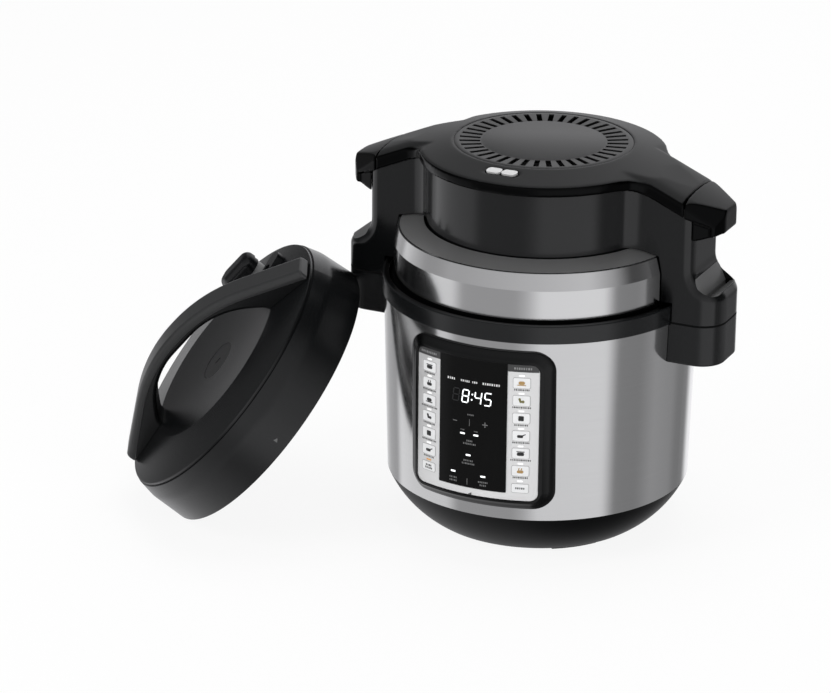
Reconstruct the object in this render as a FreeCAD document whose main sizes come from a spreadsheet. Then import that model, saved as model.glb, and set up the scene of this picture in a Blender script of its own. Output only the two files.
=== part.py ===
"""Electric pressure cooker with an air-frying lid fitted and the pressure lid leaning beside it.

Frame: millimetres, +Z up, origin on the cooker's own vertical axis at the plane its feet stand on.
The control panel faces -Y and the carrying handles point along +X and -X.
"""

import FreeCAD, Part
import math
import os
import Sketcher

Vector = FreeCAD.Vector
doc = FreeCAD.newDocument("pressure_cooker")

# ---------------------------------------------------------------------------
# Driving sizes. Every length is in millimetres, every angle in degrees.
# ---------------------------------------------------------------------------
SIZES = {
    # clearances
    "fit_gap": 0.3,              # between two pieces that come apart
    "slip_gap": 0.05,            # radial, between a stem and its guide
    # base
    "foot_drop": 4.0,            # floor to the underside of the base
    "foot_inset": 12.0,
    "foot_wide": 6.5,
    "foot_angle": 26.0,
    "boss_depth": 9.0,
    "bowl_tuck": 40.3,
    "bowl_curve_rad": 106.0,
    "bowl_wall": 3.0,
    "cover_inset": 14.0,
    "cover_thick": 2.5,
    "cover_ledge": 10.0,
    "screw_rad": 1.9,
    "screw_head_rad": 3.6,
    "screw_length": 5.0,
    "screw_inset": 5.0,
    "power_board_x": 58.0,
    "power_board_deep": 46.0,
    "power_board_wide": 78.0,
    "power_board_z": 14.0,
    "shell_taper": 4.7,
    "shell_low_z": 51.0,
    "shell_top_rad": 155.0,
    "shell_tall": 185.0,
    "shell_wall": 1.0,
    # collar that trims the top of the body
    "collar_proud": 1.6,
    "collar_tall": 18.0,
    "collar_band": 7.1,
    "trough_deep": 7.0,
    "trough_wide": 9.8,
    "shelf_drop": 7.0,
    "collar_skirt": 10.0,
    # cooking well
    "liner_space": 7.5,
    "liner_wall": 1.0,
    "liner_floor_z": 29.0,
    "liner_hole_rad": 26.0,
    "lock_ring_height": 5.3,
    "lock_ring_wide": 13.7,
    "lug_reach": 7.2,
    "lug_thick": 2.6,
    "plate_inset": 18.5,
    "plate_top_z": 45.7,
    "plate_thick": 5.7,
    "plate_hole_rad": 18.0,
    "element_inset": 23.0,
    "element_tube_rad": 4.0,
    "pot_rim_wide": 3.5,
    "pot_rim_gap": 1.8,
    "pot_wall": 2.0,
    "pot_proud": 3.0,            # rim of the pot above the collar's shelf
    "pot_corner_rad": 14.0,
    "sensor_cap_rad": 17.0,
    "sensor_stem_rad": 5.0,
    "spring_rad": 10.0,
    "spring_wire_rad": 0.7,
    "spring_turns": 6.0,
    # carrying handles
    "handle_out": 45.0,
    "handle_half": 37.0,
    "handle_corner": 25.0,
    "handle_tall": 41.4,
    "seam_above": 1.4,
    "handle_wall": 4.0,
    "handle_deck": 6.0,
    "socket_inset": 22.0,
    "socket_deep": 14.0,
    "socket_half": 15.0,
    "socket_tall": 19.0,
    "pin_spacing": 8.0,
    # control panel
    "panel_proud": 5.4,
    "panel_half": 63.7,
    "panel_lift": 22.0,
    "panel_drop": 13.0,
    "panel_corner": 9.0,
    "bezel_proud": 7.4,
    "bezel_side": 11.9,
    "bezel_below": 9.0,
    "bezel_above": 8.0,
    "bezel_corner": 16.0,
    "board_side": 49.4,
    "board_height": 138.0,
    "board_thick": 1.6,
    "display_drop": 45.0,
    # power inlet and condensation cup at the rear
    "inlet_width": 29.0,
    "inlet_height": 22.0,
    "inlet_lift": 35.0,
    "cup_width": 62.0,
    "cup_depth": 17.0,
    "cup_height": 46.0,
    "cup_drop": 10.0,
    "cup_wall": 1.6,
    # frying lid
    "ring_top_wide": 27.6,
    "drum_wall": 3.5,
    "drum_sink": 10.0,
    "drum_top_drop": 14.5,
    "arm_blend": 26.0,
    "lid_tall": 92.0,
    "crown_inset": 26.0,
    "crown_slope": 0.26,
    "lip_over": 7.5,
    "lip_side": 3.0,
    "lip_deep": 19.0,
    "lip_drop_in": 10.0,
    "cover_wall": 3.0,
    "arm_knee_in": 70.0,
    "arm_tip_drop": 38.0,
    "roof_fall": 8.8,            # how far the arms roll off towards their edges
    "chin_drop": 62.0,
    "nose_in": 10.0,
    "nose_half": 27.0,
    "tip_in": 3.0,
    "tip_half": 15.0,
    "lip_knee_drop": 45.0,
    "cap_overlap": 9.0,
    "notch_deep": 28.0,
    "column_foot": 33.6,
    "notch_blend": 22.0,
    "notch_top_drop": 68.0,
    "cap_joint": 0.2,
    "grille_rim": 1.4,
    "grille_thick": 3.6,
    "slot_long": 20.4,
    "slot_margin": 4.2,
    "slot_width": 3.4,
    "ring_above": 2.5,
    "ring_inset": 4.1,
    "ring_wall_tall": 29.0,
    "ring_bevel": 3.8,
    "ring_bevel_tall": 16.5,
    "ring_seat": 2.4,
    "ring_rise": 6.0,
    "ring_thick": 1.2,
    "pan_inset": 2.0,
    "pan_under": 1.5,
    "heater_tube_rad": 3.2,
    "heater_inset": 20.0,
    "heater_step": 18.0,
    "heater_drop": 26.5,
    "fan_space": 16.0,
    "fan_drop": 20.5,
    "fan_height": 12.0,
    "shaft_rad": 3.0,
    "motor_rad": 34.0,
    "motor_height": 34.0,
    "cooling_fan_rad": 52.0,
    "grille_ledge": 3.6,
    "light_out": 12.0,
    "light_half": 16.5,
    "light_tall": 8.0,
    "drum_floor": 3.0,
    "column_round": 12.0,
    "scoop_rim": 4.0,
    "scoop_corner": 16.0,
    "scoop_deep": 13.0,
    "motor_seat_rad": 16.0,
    "pin_rad": 2.0,
    "pin_length": 16.0,
    # pressure lid, in its own frame: +Z out of its top, zero at the rim of the skirt
    "skirt_inset": 1.0,
    "skirt_line_drop": 20.4,
    "shoulder_inset": 6.7,
    "shoulder_z": 57.4,
    "dome_inset": 50.8,
    "dome_rise": 7.5,
    "dish_deep": 3.0,
    "lid_wall": 3.0,
    "grip_inset": 9.0,
    "grip_tall": 62.5,
    "grip_half": 17.0,
    "grip_thick": 9.0,
    "grip_leg_x": 86.0,
    "rib_drop": 25.0,
    "cap_rad": 21.0,
    "cap_sink": 2.6,
    "grip_crest_x": 45.5,
    "grip_bend": 170.0,
    "grip_tip_tall": 11.0,
    "grip_round": 6.0,
    "grip_under": 6.0,
    "grip_under_x": 50.0,
    "pan_drop": 11.0,
    "steel_wall": 1.5,
    "inner_draw": 9.5,
    "lug_low_z": 12.0,
    "bayonet_gap": 4.5,
    "valve_inset": 43.5,
    "valve_turn": 53.0,
    "valve_wing": 36.0,
    "valve_half": 13.0,
    "valve_stem_rad": 11.0,
    "valve_pipe_rad": 4.0,
    "pedestal_tall": 9.0,
    "knob_tall": 11.0,
    "valve_height": 27.0,
    "float_turn": 38.0,
    "float_inset": 43.5,
    "float_rad": 3.5,
    "lean_tilt": 51.7,
    "lean_turn": 213.5,
    "lean_touch": 221.4,
    "lean_gap": 0.1,
    "grip_turn": 13.5,
}

sheet = doc.addObject("Spreadsheet::Sheet", "Sizes")
for row, (alias, number) in enumerate(SIZES.items(), start=1):
    sheet.set(f"A{row}", alias)
    sheet.set(f"B{row}", str(number))
    sheet.setAlias(f"B{row}", alias)
doc.recompute()


class Size:
    """A length that carries its number and the spreadsheet formula that gives it."""

    def __init__(self, value, formula):
        self.value = value
        self.formula = formula

    def __add__(self, other):
        other = as_size(other)
        return Size(self.value + other.value, f"({self.formula} + {other.formula})")

    def __sub__(self, other):
        other = as_size(other)
        return Size(self.value - other.value, f"({self.formula} - {other.formula})")

    def __mul__(self, other):
        other = as_size(other)
        return Size(self.value * other.value, f"({self.formula} * {other.formula})")

    def __truediv__(self, other):
        other = as_size(other)
        return Size(self.value / other.value, f"({self.formula} / {other.formula})")

    def __neg__(self):
        return Size(-self.value, f"(-{self.formula})")

    def __radd__(self, other):
        return as_size(other) + self

    def __rsub__(self, other):
        return as_size(other) - self

    def __rmul__(self, other):
        return as_size(other) * self


def as_size(item):
    """Give a plain number the same form as a named size."""
    return item if isinstance(item, Size) else Size(float(item), f"{float(item):.6f}")


class Named:
    """The driving sizes by name."""


d = Named()
for alias, number in SIZES.items():
    setattr(d, alias, Size(float(number), f"Sizes.{alias}"))

# Places worked out from the driving sizes, outwards from the steel body.
d.shell_top_z = d.shell_low_z + d.shell_tall
d.shell_low_rad = d.shell_top_rad - d.shell_taper
d.bowl_low_rad = d.shell_low_rad - d.bowl_tuck
d.foot_inner_rad = d.bowl_low_rad - d.foot_inset
d.foot_outer_rad = d.foot_inner_rad + d.foot_wide
d.cover_rad = d.bowl_low_rad - d.cover_inset
d.screw_place_rad = d.cover_rad - d.screw_inset
d.collar_rad = d.shell_top_rad + d.collar_proud
d.collar_top_z = d.shell_top_z + d.collar_tall
d.trough_rad = d.collar_rad - d.collar_band
d.trough_z = d.collar_top_z - d.trough_deep
d.collar_inner_rad = d.trough_rad - d.trough_wide
d.collar_shelf_z = d.trough_z - d.shelf_drop
d.lock_ring_rad = d.collar_inner_rad - d.lock_ring_wide
d.lug_reach_rad = d.lock_ring_rad - d.lug_reach
d.pot_rim_rad = d.lug_reach_rad - d.pot_rim_gap
d.pot_rad = d.pot_rim_rad - d.pot_rim_wide
d.liner_rad = d.pot_rad + d.liner_space
d.plate_rad = d.pot_rad - d.plate_inset
d.element_rad = d.plate_rad - d.element_inset
d.handle_reach = d.shell_top_rad + d.handle_out
d.seam_z = d.shell_top_z + d.seam_above
d.handle_low_z = d.seam_z - d.handle_tall
d.socket_x = d.handle_reach - d.socket_inset
d.panel_rad = d.shell_top_rad + d.panel_proud
d.panel_low_z = d.shell_low_z + d.panel_lift
d.panel_top_z = d.shell_top_z - d.panel_drop
d.bezel_rad = d.shell_top_rad + d.bezel_proud
d.bezel_half = d.panel_half + d.bezel_side
d.bezel_low_z = d.panel_low_z - d.bezel_below
d.bezel_top_z = d.panel_top_z + d.bezel_above
d.board_width = d.panel_half * 2 - d.board_side
d.display_z = d.panel_top_z - d.display_drop
d.inlet_z = d.shell_low_z + d.inlet_lift
d.cup_top_z = d.shell_top_z - d.cup_drop
d.ring_rad = d.trough_rad - d.ring_inset
d.ring_low_z = d.collar_top_z + d.ring_above
d.ring_wall_z = d.ring_low_z + d.ring_wall_tall
d.ring_rim_rad = d.ring_rad - d.ring_bevel
d.ring_rim_z = d.ring_wall_z + d.ring_bevel_tall
d.ring_inner_z = d.ring_rim_z + d.ring_rise
d.drum_rad = d.ring_rim_rad - d.ring_top_wide
d.ring_inner_rad = d.drum_rad + d.ring_seat
d.drum_low_z = d.ring_inner_z - d.drum_sink
d.crown_z = d.drum_low_z + d.lid_tall
d.drum_top_z = d.crown_z - d.drum_top_drop
d.crown_rad = d.drum_rad - d.crown_inset
d.lip_rad = d.drum_rad + d.lip_over
d.lip_half = d.handle_half + d.lip_side
d.lip_low_z = d.crown_z - d.lip_deep
d.lip_drop_x = d.drum_rad - d.lip_drop_in
d.arm_knee_x = d.handle_reach - d.arm_knee_in
d.arm_knee_z = d.crown_z - d.crown_slope * (d.arm_knee_x - d.crown_rad)
d.arm_tip_z = d.crown_z - d.arm_tip_drop
d.chin_z = d.crown_z - d.chin_drop
d.nose_x = d.handle_reach - d.nose_in
d.tip_x = d.handle_reach - d.tip_in
d.lip_knee_z = d.crown_z - d.lip_knee_drop
d.notch_wall_x = d.handle_reach - d.notch_deep
d.cap_seam_x = d.notch_wall_x - d.cap_overlap
d.notch_top_z = d.crown_z - d.notch_top_drop
d.notch_floor_z = d.seam_z + d.column_foot
d.scoop_floor_z = d.notch_floor_z - d.scoop_deep
d.grille_rad = d.crown_rad - d.grille_rim
d.slot_outer_rad = d.grille_rad - d.slot_margin
d.slot_inner_rad = d.slot_outer_rad - d.slot_long
d.pan_rad = d.drum_rad - d.pan_inset
d.pan_top_z = d.drum_low_z - d.pan_under
d.heater_outer_rad = d.pan_rad - d.heater_inset
d.heater_inner_rad = d.heater_outer_rad - d.heater_step
d.heater_z = d.pan_top_z - d.heater_drop
d.fan_z = d.pan_top_z - d.fan_drop
d.fan_rad = d.heater_inner_rad - d.fan_space
d.light_rad = d.crown_rad + d.light_out
d.skirt_rad = d.trough_rad - d.skirt_inset
d.shoulder_rad = d.skirt_rad - d.shoulder_inset
d.skirt_line_z = d.shoulder_z - d.skirt_line_drop
d.dome_rad = d.shoulder_rad - d.dome_inset
d.dome_foot_z = d.shoulder_z + d.dome_rise
d.dome_top_z = d.dome_foot_z - d.dish_deep
d.rib_z = d.shoulder_z - d.rib_drop
d.pan_ceiling_z = d.shoulder_z - d.pan_drop
d.grip_top_z = d.shoulder_z + d.grip_tall
d.grip_tip_z = d.shoulder_z + d.grip_tip_tall
d.bayonet_rad = d.lock_ring_rad - d.bayonet_gap
d.inner_top_rad = d.bayonet_rad - d.inner_draw
d.grip_span = d.skirt_rad - d.grip_inset
d.valve_reach = d.skirt_rad - d.valve_inset
d.float_reach = d.skirt_rad - d.float_inset
d.pot_height = d.collar_shelf_z + d.pot_proud - d.plate_top_z - d.fit_gap


# ---------------------------------------------------------------------------
# Modelling helpers
# ---------------------------------------------------------------------------
NODES = []


def bind(thing, prop, size):
    """Set a property from a size and tie it to the spreadsheet."""
    size = as_size(size)
    thing.setExpression(prop, size.formula)


def new_body(name):
    """Start a sub-part: one body whose label names its file."""
    body = doc.addObject("PartDesign::Body", name)
    body.Label = name
    NODES.append(body)
    return body


def origin_plane(body, role):
    """Find one of the body's own origin planes or axes."""
    return next(item for item in body.Origin.OriginFeatures if item.Role == role)


def new_sketch(body, role, name, height=None):
    """Attach a sketch to the body's origin plane, raised along its normal by a size."""
    sketch = body.newObject("Sketcher::SketchObject", f"{body.Name}_{name}")
    sketch.AttachmentSupport = [(origin_plane(body, role), "")]
    sketch.MapMode = "FlatFace"
    if height is not None:
        bind(sketch, "AttachmentOffset.Base.z", height)
    return sketch


def pin_coordinate(sketch, kind, geo, pos, size, tag):
    """Hold one coordinate of a sketch point at a size measured from the origin."""
    size = as_size(size)
    axis_line = -2 if kind == "DistanceX" else -1
    if abs(size.value) < 1e-9:
        sketch.addConstraint(Sketcher.Constraint("PointOnObject", geo, pos, axis_line))
        return
    if size.value > 0:
        index = sketch.addConstraint(Sketcher.Constraint(kind, -1, 1, geo, pos, size.value))
        formula = size.formula
    else:
        index = sketch.addConstraint(Sketcher.Constraint(kind, geo, pos, -1, 1, -size.value))
        formula = f"-({size.formula})"
    sketch.renameConstraint(index, tag)
    bind_later.append((sketch, tag, formula))


bind_later = []


def bind_constraints():
    """Tie the named constraints to the spreadsheet once their sketch is complete."""
    for sketch, tag, formula in bind_later:
        sketch.setExpression(f"Constraints.{tag}", formula)
    bind_later.clear()


def outline(sketch, corners):
    """Draw a closed outline. A corner is (x, y), (x, y, rounding) or (x, y, rounding, bow).

    A bow makes the edge that leaves the corner an arc of that radius: positive bows to the
    right of the way the outline runs, negative to the left.
    """
    corners = [tuple(corner) + (None,) * (4 - len(corner)) for corner in corners]
    points = [Vector(as_size(c[0]).value, as_size(c[1]).value, 0) for c in corners]
    count = len(corners)
    tag_base = sketch.GeometryCount
    edges = []
    for i, corner in enumerate(corners):
        start, end = points[i], points[(i + 1) % count]
        if corner[3] is None:
            edges.append((sketch.addGeometry(Part.LineSegment(start, end), False), 1, 2))
            continue
        bow = as_size(corner[3])
        radius = abs(bow.value)
        middle = (start + end) * 0.5
        along = (end - start).normalize()
        side = Vector(along.y, -along.x, 0) * (1 if bow.value > 0 else -1)
        rise = math.sqrt(radius**2 - (end - start).Length ** 2 / 4)
        arc = Part.Arc(start, middle + side * (radius - rise), end)
        geo = sketch.addGeometry(arc, False)
        first = sketch.getPoint(geo, 1)
        forward = first.distanceToPoint(start) < first.distanceToPoint(end)
        edges.append((geo, 1, 2) if forward else (geo, 2, 1))
        tag = f"bow{tag_base}_{i}"
        index = sketch.addConstraint(Sketcher.Constraint("Radius", geo, radius))
        sketch.renameConstraint(index, tag)
        bind_later.append((sketch, tag, bow.formula if bow.value > 0 else f"-({bow.formula})"))
    for i in range(count):
        here, after = edges[i], edges[(i + 1) % count]
        sketch.addConstraint(Sketcher.Constraint("Coincident", here[0], here[2], after[0], after[1]))
    for i, corner in enumerate(corners):
        geo, pos, _ = edges[i]
        pin_coordinate(sketch, "DistanceX", geo, pos, corner[0], f"x{tag_base}_{i}")
        pin_coordinate(sketch, "DistanceY", geo, pos, corner[1], f"y{tag_base}_{i}")
    for i, corner in enumerate(corners):
        if corner[2] is None:
            continue
        rounding = as_size(corner[2])
        before, here = edges[i - 1], edges[i]
        near = points[i]
        towards = (points[i - 1] - near).normalize() * rounding.value * 0.5
        onwards = (points[(i + 1) % count] - near).normalize() * rounding.value * 0.5
        known = sketch.GeometryCount
        sketch.fillet(before[0], here[0], near + towards, near + onwards, rounding.value, True, True)
        tag = f"round{tag_base}_{i}"
        index = sketch.addConstraint(Sketcher.Constraint("Radius", known, rounding.value))
        sketch.renameConstraint(index, tag)
        bind_later.append((sketch, tag, rounding.formula))
    bind_constraints()


def ring(sketch, radius, x=0, y=0):
    """Draw a circle held by its centre and radius."""
    radius, x, y = as_size(radius), as_size(x), as_size(y)
    circle = Part.Circle(Vector(x.value, y.value, 0), Vector(0, 0, 1), radius.value)
    geo = sketch.addGeometry(circle, False)
    index = sketch.addConstraint(Sketcher.Constraint("Radius", geo, radius.value))
    sketch.renameConstraint(index, f"rad{geo}")
    bind_later.append((sketch, f"rad{geo}", radius.formula))
    if abs(x.value) < 1e-9 and abs(y.value) < 1e-9:
        sketch.addConstraint(Sketcher.Constraint("Coincident", geo, 3, -1, 1))
    else:
        pin_coordinate(sketch, "DistanceX", geo, 3, x, f"cx{geo}")
        pin_coordinate(sketch, "DistanceY", geo, 3, y, f"cy{geo}")
    bind_constraints()


def box_corners(x0, x1, y0, y1, rounding=None):
    """Corners of an upright rectangle, anticlockwise, with one rounding for all."""
    return [(x0, y0, rounding), (x1, y0, rounding), (x1, y1, rounding), (x0, y1, rounding)]


def volume(body):
    """Volume of the body so far."""
    return 0.0 if body.Shape.isNull() else body.Shape.Volume


def finish_feature(body, feature, grows):
    """Recompute a feature and make sure that it added or removed material as meant."""
    before = volume(body)
    doc.recompute()
    change = volume(body) - before
    if feature.State and "Invalid" in feature.State or (change > 0) != grows or abs(change) < 1e-3:
        raise ValueError(f"{body.Label}: {feature.Name} changed the volume by {change:.3f}")
    return feature


def pad(body, sketch, length, both=False, back=False):
    """Extrude a sketch into material."""
    feature = body.newObject("PartDesign::Pad", f"{sketch.Name}_pad")
    feature.Profile = sketch
    bind(feature, "Length", length)
    feature.Midplane = both
    feature.Reversed = back
    return finish_feature(body, feature, True)


def pocket(body, sketch, length=None, both=False, back=False):
    """Extrude a sketch as a cut; with no length it runs right through."""
    feature = body.newObject("PartDesign::Pocket", f"{sketch.Name}_cut")
    feature.Profile = sketch
    if length is None:
        feature.Type = "ThroughAll"
    else:
        bind(feature, "Length", length)
    feature.Midplane = both
    feature.Reversed = back
    return finish_feature(body, feature, False)


def slanted_pocket(body, sketch, way, length):
    """Cut a sketch along a slanted direction, the same length to both sides of it."""
    feature = body.newObject("PartDesign::Pocket", f"{sketch.Name}_cut")
    feature.Profile = sketch
    feature.UseCustomVector = True
    feature.Direction = way
    feature.AlongSketchNormal = True
    feature.Midplane = True
    bind(feature, "Length", length)
    return finish_feature(body, feature, False)


def revolve(body, sketch, angle=360.0, cut=False):
    """Turn a profile about the sketch's upright axis, to add or to cut."""
    kind = "Groove" if cut else "Revolution"
    feature = body.newObject(f"PartDesign::{kind}", f"{sketch.Name}_{kind.lower()}")
    feature.Profile = sketch
    feature.ReferenceAxis = (sketch, ["V_Axis"])
    angle = as_size(angle)
    if angle.value < 360:
        feature.Midplane = True
        bind(feature, "Angle", angle)
    return finish_feature(body, feature, not cut)


def turned(name, corners, role="XZ_Plane"):
    """A sub-part turned from one profile about the vertical axis."""
    body = new_body(name)
    sketch = new_sketch(body, role, "profile")
    outline(sketch, corners)
    revolve(body, sketch)
    return body


def repeat(body, features, count, angle=360.0):
    """Repeat features round the vertical axis."""
    pattern = body.newObject("PartDesign::PolarPattern", f"{features[0].Name}_ring")
    pattern.Originals = features
    pattern.Axis = (origin_plane(body, "Z_Axis"), [""])
    pattern.Angle = angle
    pattern.Occurrences = count
    body.Tip = pattern
    doc.recompute()
    if not pattern.Shape.isValid() or "Invalid" in pattern.State:
        raise ValueError(f"{body.Label}: the pattern of {features[0].Name} failed")
    return pattern


def edges_where(body, test):
    """Names of the body's edges whose middle point and edge pass a test."""
    names = []
    for number, edge in enumerate(body.Shape.Edges, start=1):
        middle = edge.valueAt((edge.FirstParameter + edge.LastParameter) / 2)
        if test(edge, middle):
            names.append(f"Edge{number}")
    return names


def soften(body, size, test, kind="Fillet"):
    """Round or bevel the edges that pass a test."""
    names = edges_where(body, test)
    if not names:
        raise ValueError(f"{body.Label}: no edge to soften")
    base = body.Tip
    feature = body.newObject(f"PartDesign::{kind}", f"{body.Name}_{kind.lower()}{len(body.Group)}")
    feature.Base = (base, names)
    bind(feature, "Radius" if kind == "Fillet" else "Size", size)
    body.Tip = feature
    doc.recompute()
    if "Invalid" in feature.State or not feature.Shape.isValid():
        raise ValueError(f"{body.Label}: softening failed on {len(names)} edges")
    return feature


def is_upright(edge):
    """True for a straight edge that runs along Z."""
    ends = edge.Vertexes
    return len(ends) == 2 and math.hypot(ends[0].X - ends[1].X, ends[0].Y - ends[1].Y) < 1e-4


def is_circle_at(edge, radius, height, slack=0.05):
    """True for a round edge about the vertical axis at that radius and height."""
    if not hasattr(edge.Curve, "Radius") or len(edge.Vertexes) > 2:
        return False
    at_height = abs(edge.BoundBox.ZMax - height) < slack and abs(edge.BoundBox.ZMin - height) < slack
    return at_height and abs(edge.Curve.Radius - radius) < slack


# ---------------------------------------------------------------------------
# Base: bowl, shell, collar and what stands inside them
# ---------------------------------------------------------------------------
def shell_radius(z):
    """Outside radius of the tapered steel shell at a height."""
    rise = (d.shell_top_rad - d.shell_low_rad) / (d.shell_top_z - d.shell_low_z)
    return d.shell_low_rad + rise * (z - d.shell_low_z)


def make_base_housing():
    """Moulded bowl: curved wall, floor with an opening, and four bosses for the feet."""
    body = new_body("base_housing")
    sketch = new_sketch(body, "XZ_Plane", "profile")
    floor_z = d.foot_drop
    seat_rad = d.shell_low_rad - d.shell_wall - d.fit_gap
    opening_rad = d.cover_rad + d.fit_gap
    ledge_z = floor_z + d.cover_thick
    outline(sketch, [
        (opening_rad, floor_z),
        (d.bowl_low_rad, floor_z, None, d.bowl_curve_rad),
        (d.shell_low_rad, d.shell_low_z - 0),
        (seat_rad, d.shell_low_z),
        (seat_rad, d.shell_low_z + 5),
        (seat_rad - d.bowl_wall, d.shell_low_z + 5),
        (seat_rad - d.bowl_wall, d.shell_low_z - 1, None, -(d.bowl_curve_rad)),
        (d.bowl_low_rad - 1, ledge_z + 2.5),
        (d.cover_rad - d.cover_ledge, ledge_z + 2.5),
        (d.cover_rad - d.cover_ledge, ledge_z),
        (opening_rad, ledge_z),
    ])
    revolve(body, sketch)
    boss = new_sketch(body, "YZ_Plane", "boss")
    outline(boss, [
        (d.foot_inner_rad - 1, floor_z),
        (d.foot_outer_rad + 1, floor_z),
        (d.foot_outer_rad + 1, floor_z + d.boss_depth),
        (d.foot_inner_rad - 1, floor_z + 1),
    ])
    block = body.newObject("PartDesign::Revolution", "boss_turned")
    block.Profile = boss
    block.ReferenceAxis = (boss, ["V_Axis"])
    block.Midplane = True
    bind(block, "Angle", d.foot_angle + 2)
    finish_feature(body, block, True)
    repeat(body, [block], 4)
    screw_hole = new_sketch(body, "XY_Plane", "screw_hole", floor_z)
    ring(screw_hole, d.screw_rad + d.slip_gap, d.screw_place_rad, 0)
    hole = pocket(body, screw_hole, d.cover_thick + 4, back=True)
    repeat(body, [hole], 4)
    turn_node(body, 45)


def turn_node(body, degrees):
    """Turn a finished sub-part about the cooker's axis."""
    body.Placement = FreeCAD.Placement(Vector(0, 0, 0), FreeCAD.Rotation(Vector(0, 0, 1), degrees))


def make_bottom_cover():
    """Flat cover that closes the bowl from below, with a ring of air slots and a centre rib."""
    body = new_body("bottom_cover")
    plate = new_sketch(body, "XY_Plane", "plate", d.foot_drop)
    ring(plate, d.cover_rad)
    pad(body, plate, d.cover_thick)
    holes = new_sketch(body, "XY_Plane", "screw_hole", d.foot_drop)
    ring(holes, d.screw_rad + d.fit_gap, d.screw_place_rad, 0)
    hole = pocket(body, holes, d.cover_thick, back=True)
    repeat(body, [hole], 4)
    slots = new_sketch(body, "XY_Plane", "slot", d.foot_drop)
    outline(slots, box_corners(38, 66, -2, 2, 1.9))
    slot = pocket(body, slots, d.cover_thick, back=True)
    repeat(body, [slot], 24)
    posts = new_sketch(body, "XY_Plane", "posts", d.foot_drop + d.cover_thick)
    for x in (d.power_board_x - d.power_board_deep / 2 + 6, d.power_board_x + d.power_board_deep / 2 - 6):
        for y in (d.power_board_wide / 2 - 6, 6 - d.power_board_wide / 2):
            ring(posts, 3, x, y)
    pad(body, posts, d.power_board_z - d.foot_drop - d.cover_thick)
    turn_node(body, 45)


def make_bottom_screws():
    """Four flat-headed screws that hold the bottom cover."""
    body = new_body("bottom_screws")
    body.AllowCompound = True
    head = new_sketch(body, "XY_Plane", "head", d.foot_drop)
    ring(head, d.screw_head_rad, d.screw_place_rad, 0)
    head_pad = pad(body, head, 1.6, back=True)
    shank = new_sketch(body, "XY_Plane", "shank", d.foot_drop)
    ring(shank, d.screw_rad, d.screw_place_rad, 0)
    shank_pad = pad(body, shank, d.screw_length)
    repeat(body, [head_pad, shank_pad], 4)
    turn_node(body, 45)


def make_feet():
    """Four rubber pads, each a short stretch of ring, under the bosses of the bowl."""
    body = new_body("rubber_feet")
    body.AllowCompound = True
    sketch = new_sketch(body, "YZ_Plane", "pad")
    outline(sketch, [
        (d.foot_inner_rad + 1, 0, 1),
        (d.foot_outer_rad - 1, 0, 1),
        (d.foot_outer_rad, d.foot_drop),
        (d.foot_inner_rad, d.foot_drop),
    ])
    block = body.newObject("PartDesign::Revolution", "pad_turned")
    block.Profile = sketch
    block.ReferenceAxis = (sketch, ["V_Axis"])
    block.Midplane = True
    bind(block, "Angle", d.foot_angle)
    finish_feature(body, block, True)
    repeat(body, [block], 4)
    turn_node(body, 45)


def make_body_shell():
    """Tapered steel wall with a window behind the panel and a cut-out for the power inlet."""
    body = turned("body_shell", [
        (d.shell_low_rad - d.shell_wall, d.shell_low_z),
        (d.shell_low_rad, d.shell_low_z),
        (d.shell_top_rad, d.shell_top_z),
        (d.shell_top_rad - d.shell_wall, d.shell_top_z),
    ])
    window = new_sketch(body, "XZ_Plane", "window")
    outline(window, box_corners(
        -(d.panel_half - 12), d.panel_half - 12, d.panel_low_z + 8, d.panel_top_z - 8, 6))
    pocket(body, window, back=True)
    inlet = new_sketch(body, "XZ_Plane", "inlet_hole")
    half, tall = d.inlet_width / 2 + d.fit_gap, d.inlet_height / 2 + d.fit_gap
    outline(inlet, box_corners(-half, half, d.inlet_z - tall, d.inlet_z + tall))
    pocket(body, inlet)


def make_top_collar():
    """Black ring on top of the shell: skirt inside it, outer band, and a trough round the well."""
    top = d.collar_top_z
    skirt_out = d.shell_top_rad - d.shell_wall - 0.9
    body = turned("top_collar", [
        (skirt_out - 2.5, d.shell_top_z - d.collar_skirt),
        (skirt_out, d.shell_top_z - d.collar_skirt),
        (skirt_out, d.shell_top_z),
        (d.collar_rad, d.shell_top_z, 0.7),
        (d.collar_rad, top, 1.4),
        (d.trough_rad, top, 1.2),
        (d.trough_rad, d.trough_z, 2),
        (d.collar_inner_rad + 2, d.trough_z),
        (d.collar_inner_rad + 2, d.trough_z + 2.6),
        (d.collar_inner_rad, d.trough_z + 2.6),
        (d.collar_inner_rad, d.collar_shelf_z),
        (d.collar_inner_rad - 9, d.collar_shelf_z),
        (d.collar_inner_rad - 9, d.collar_shelf_z - 3),
        (skirt_out - 2.5, d.collar_shelf_z - 3),
    ])
    return body


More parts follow.
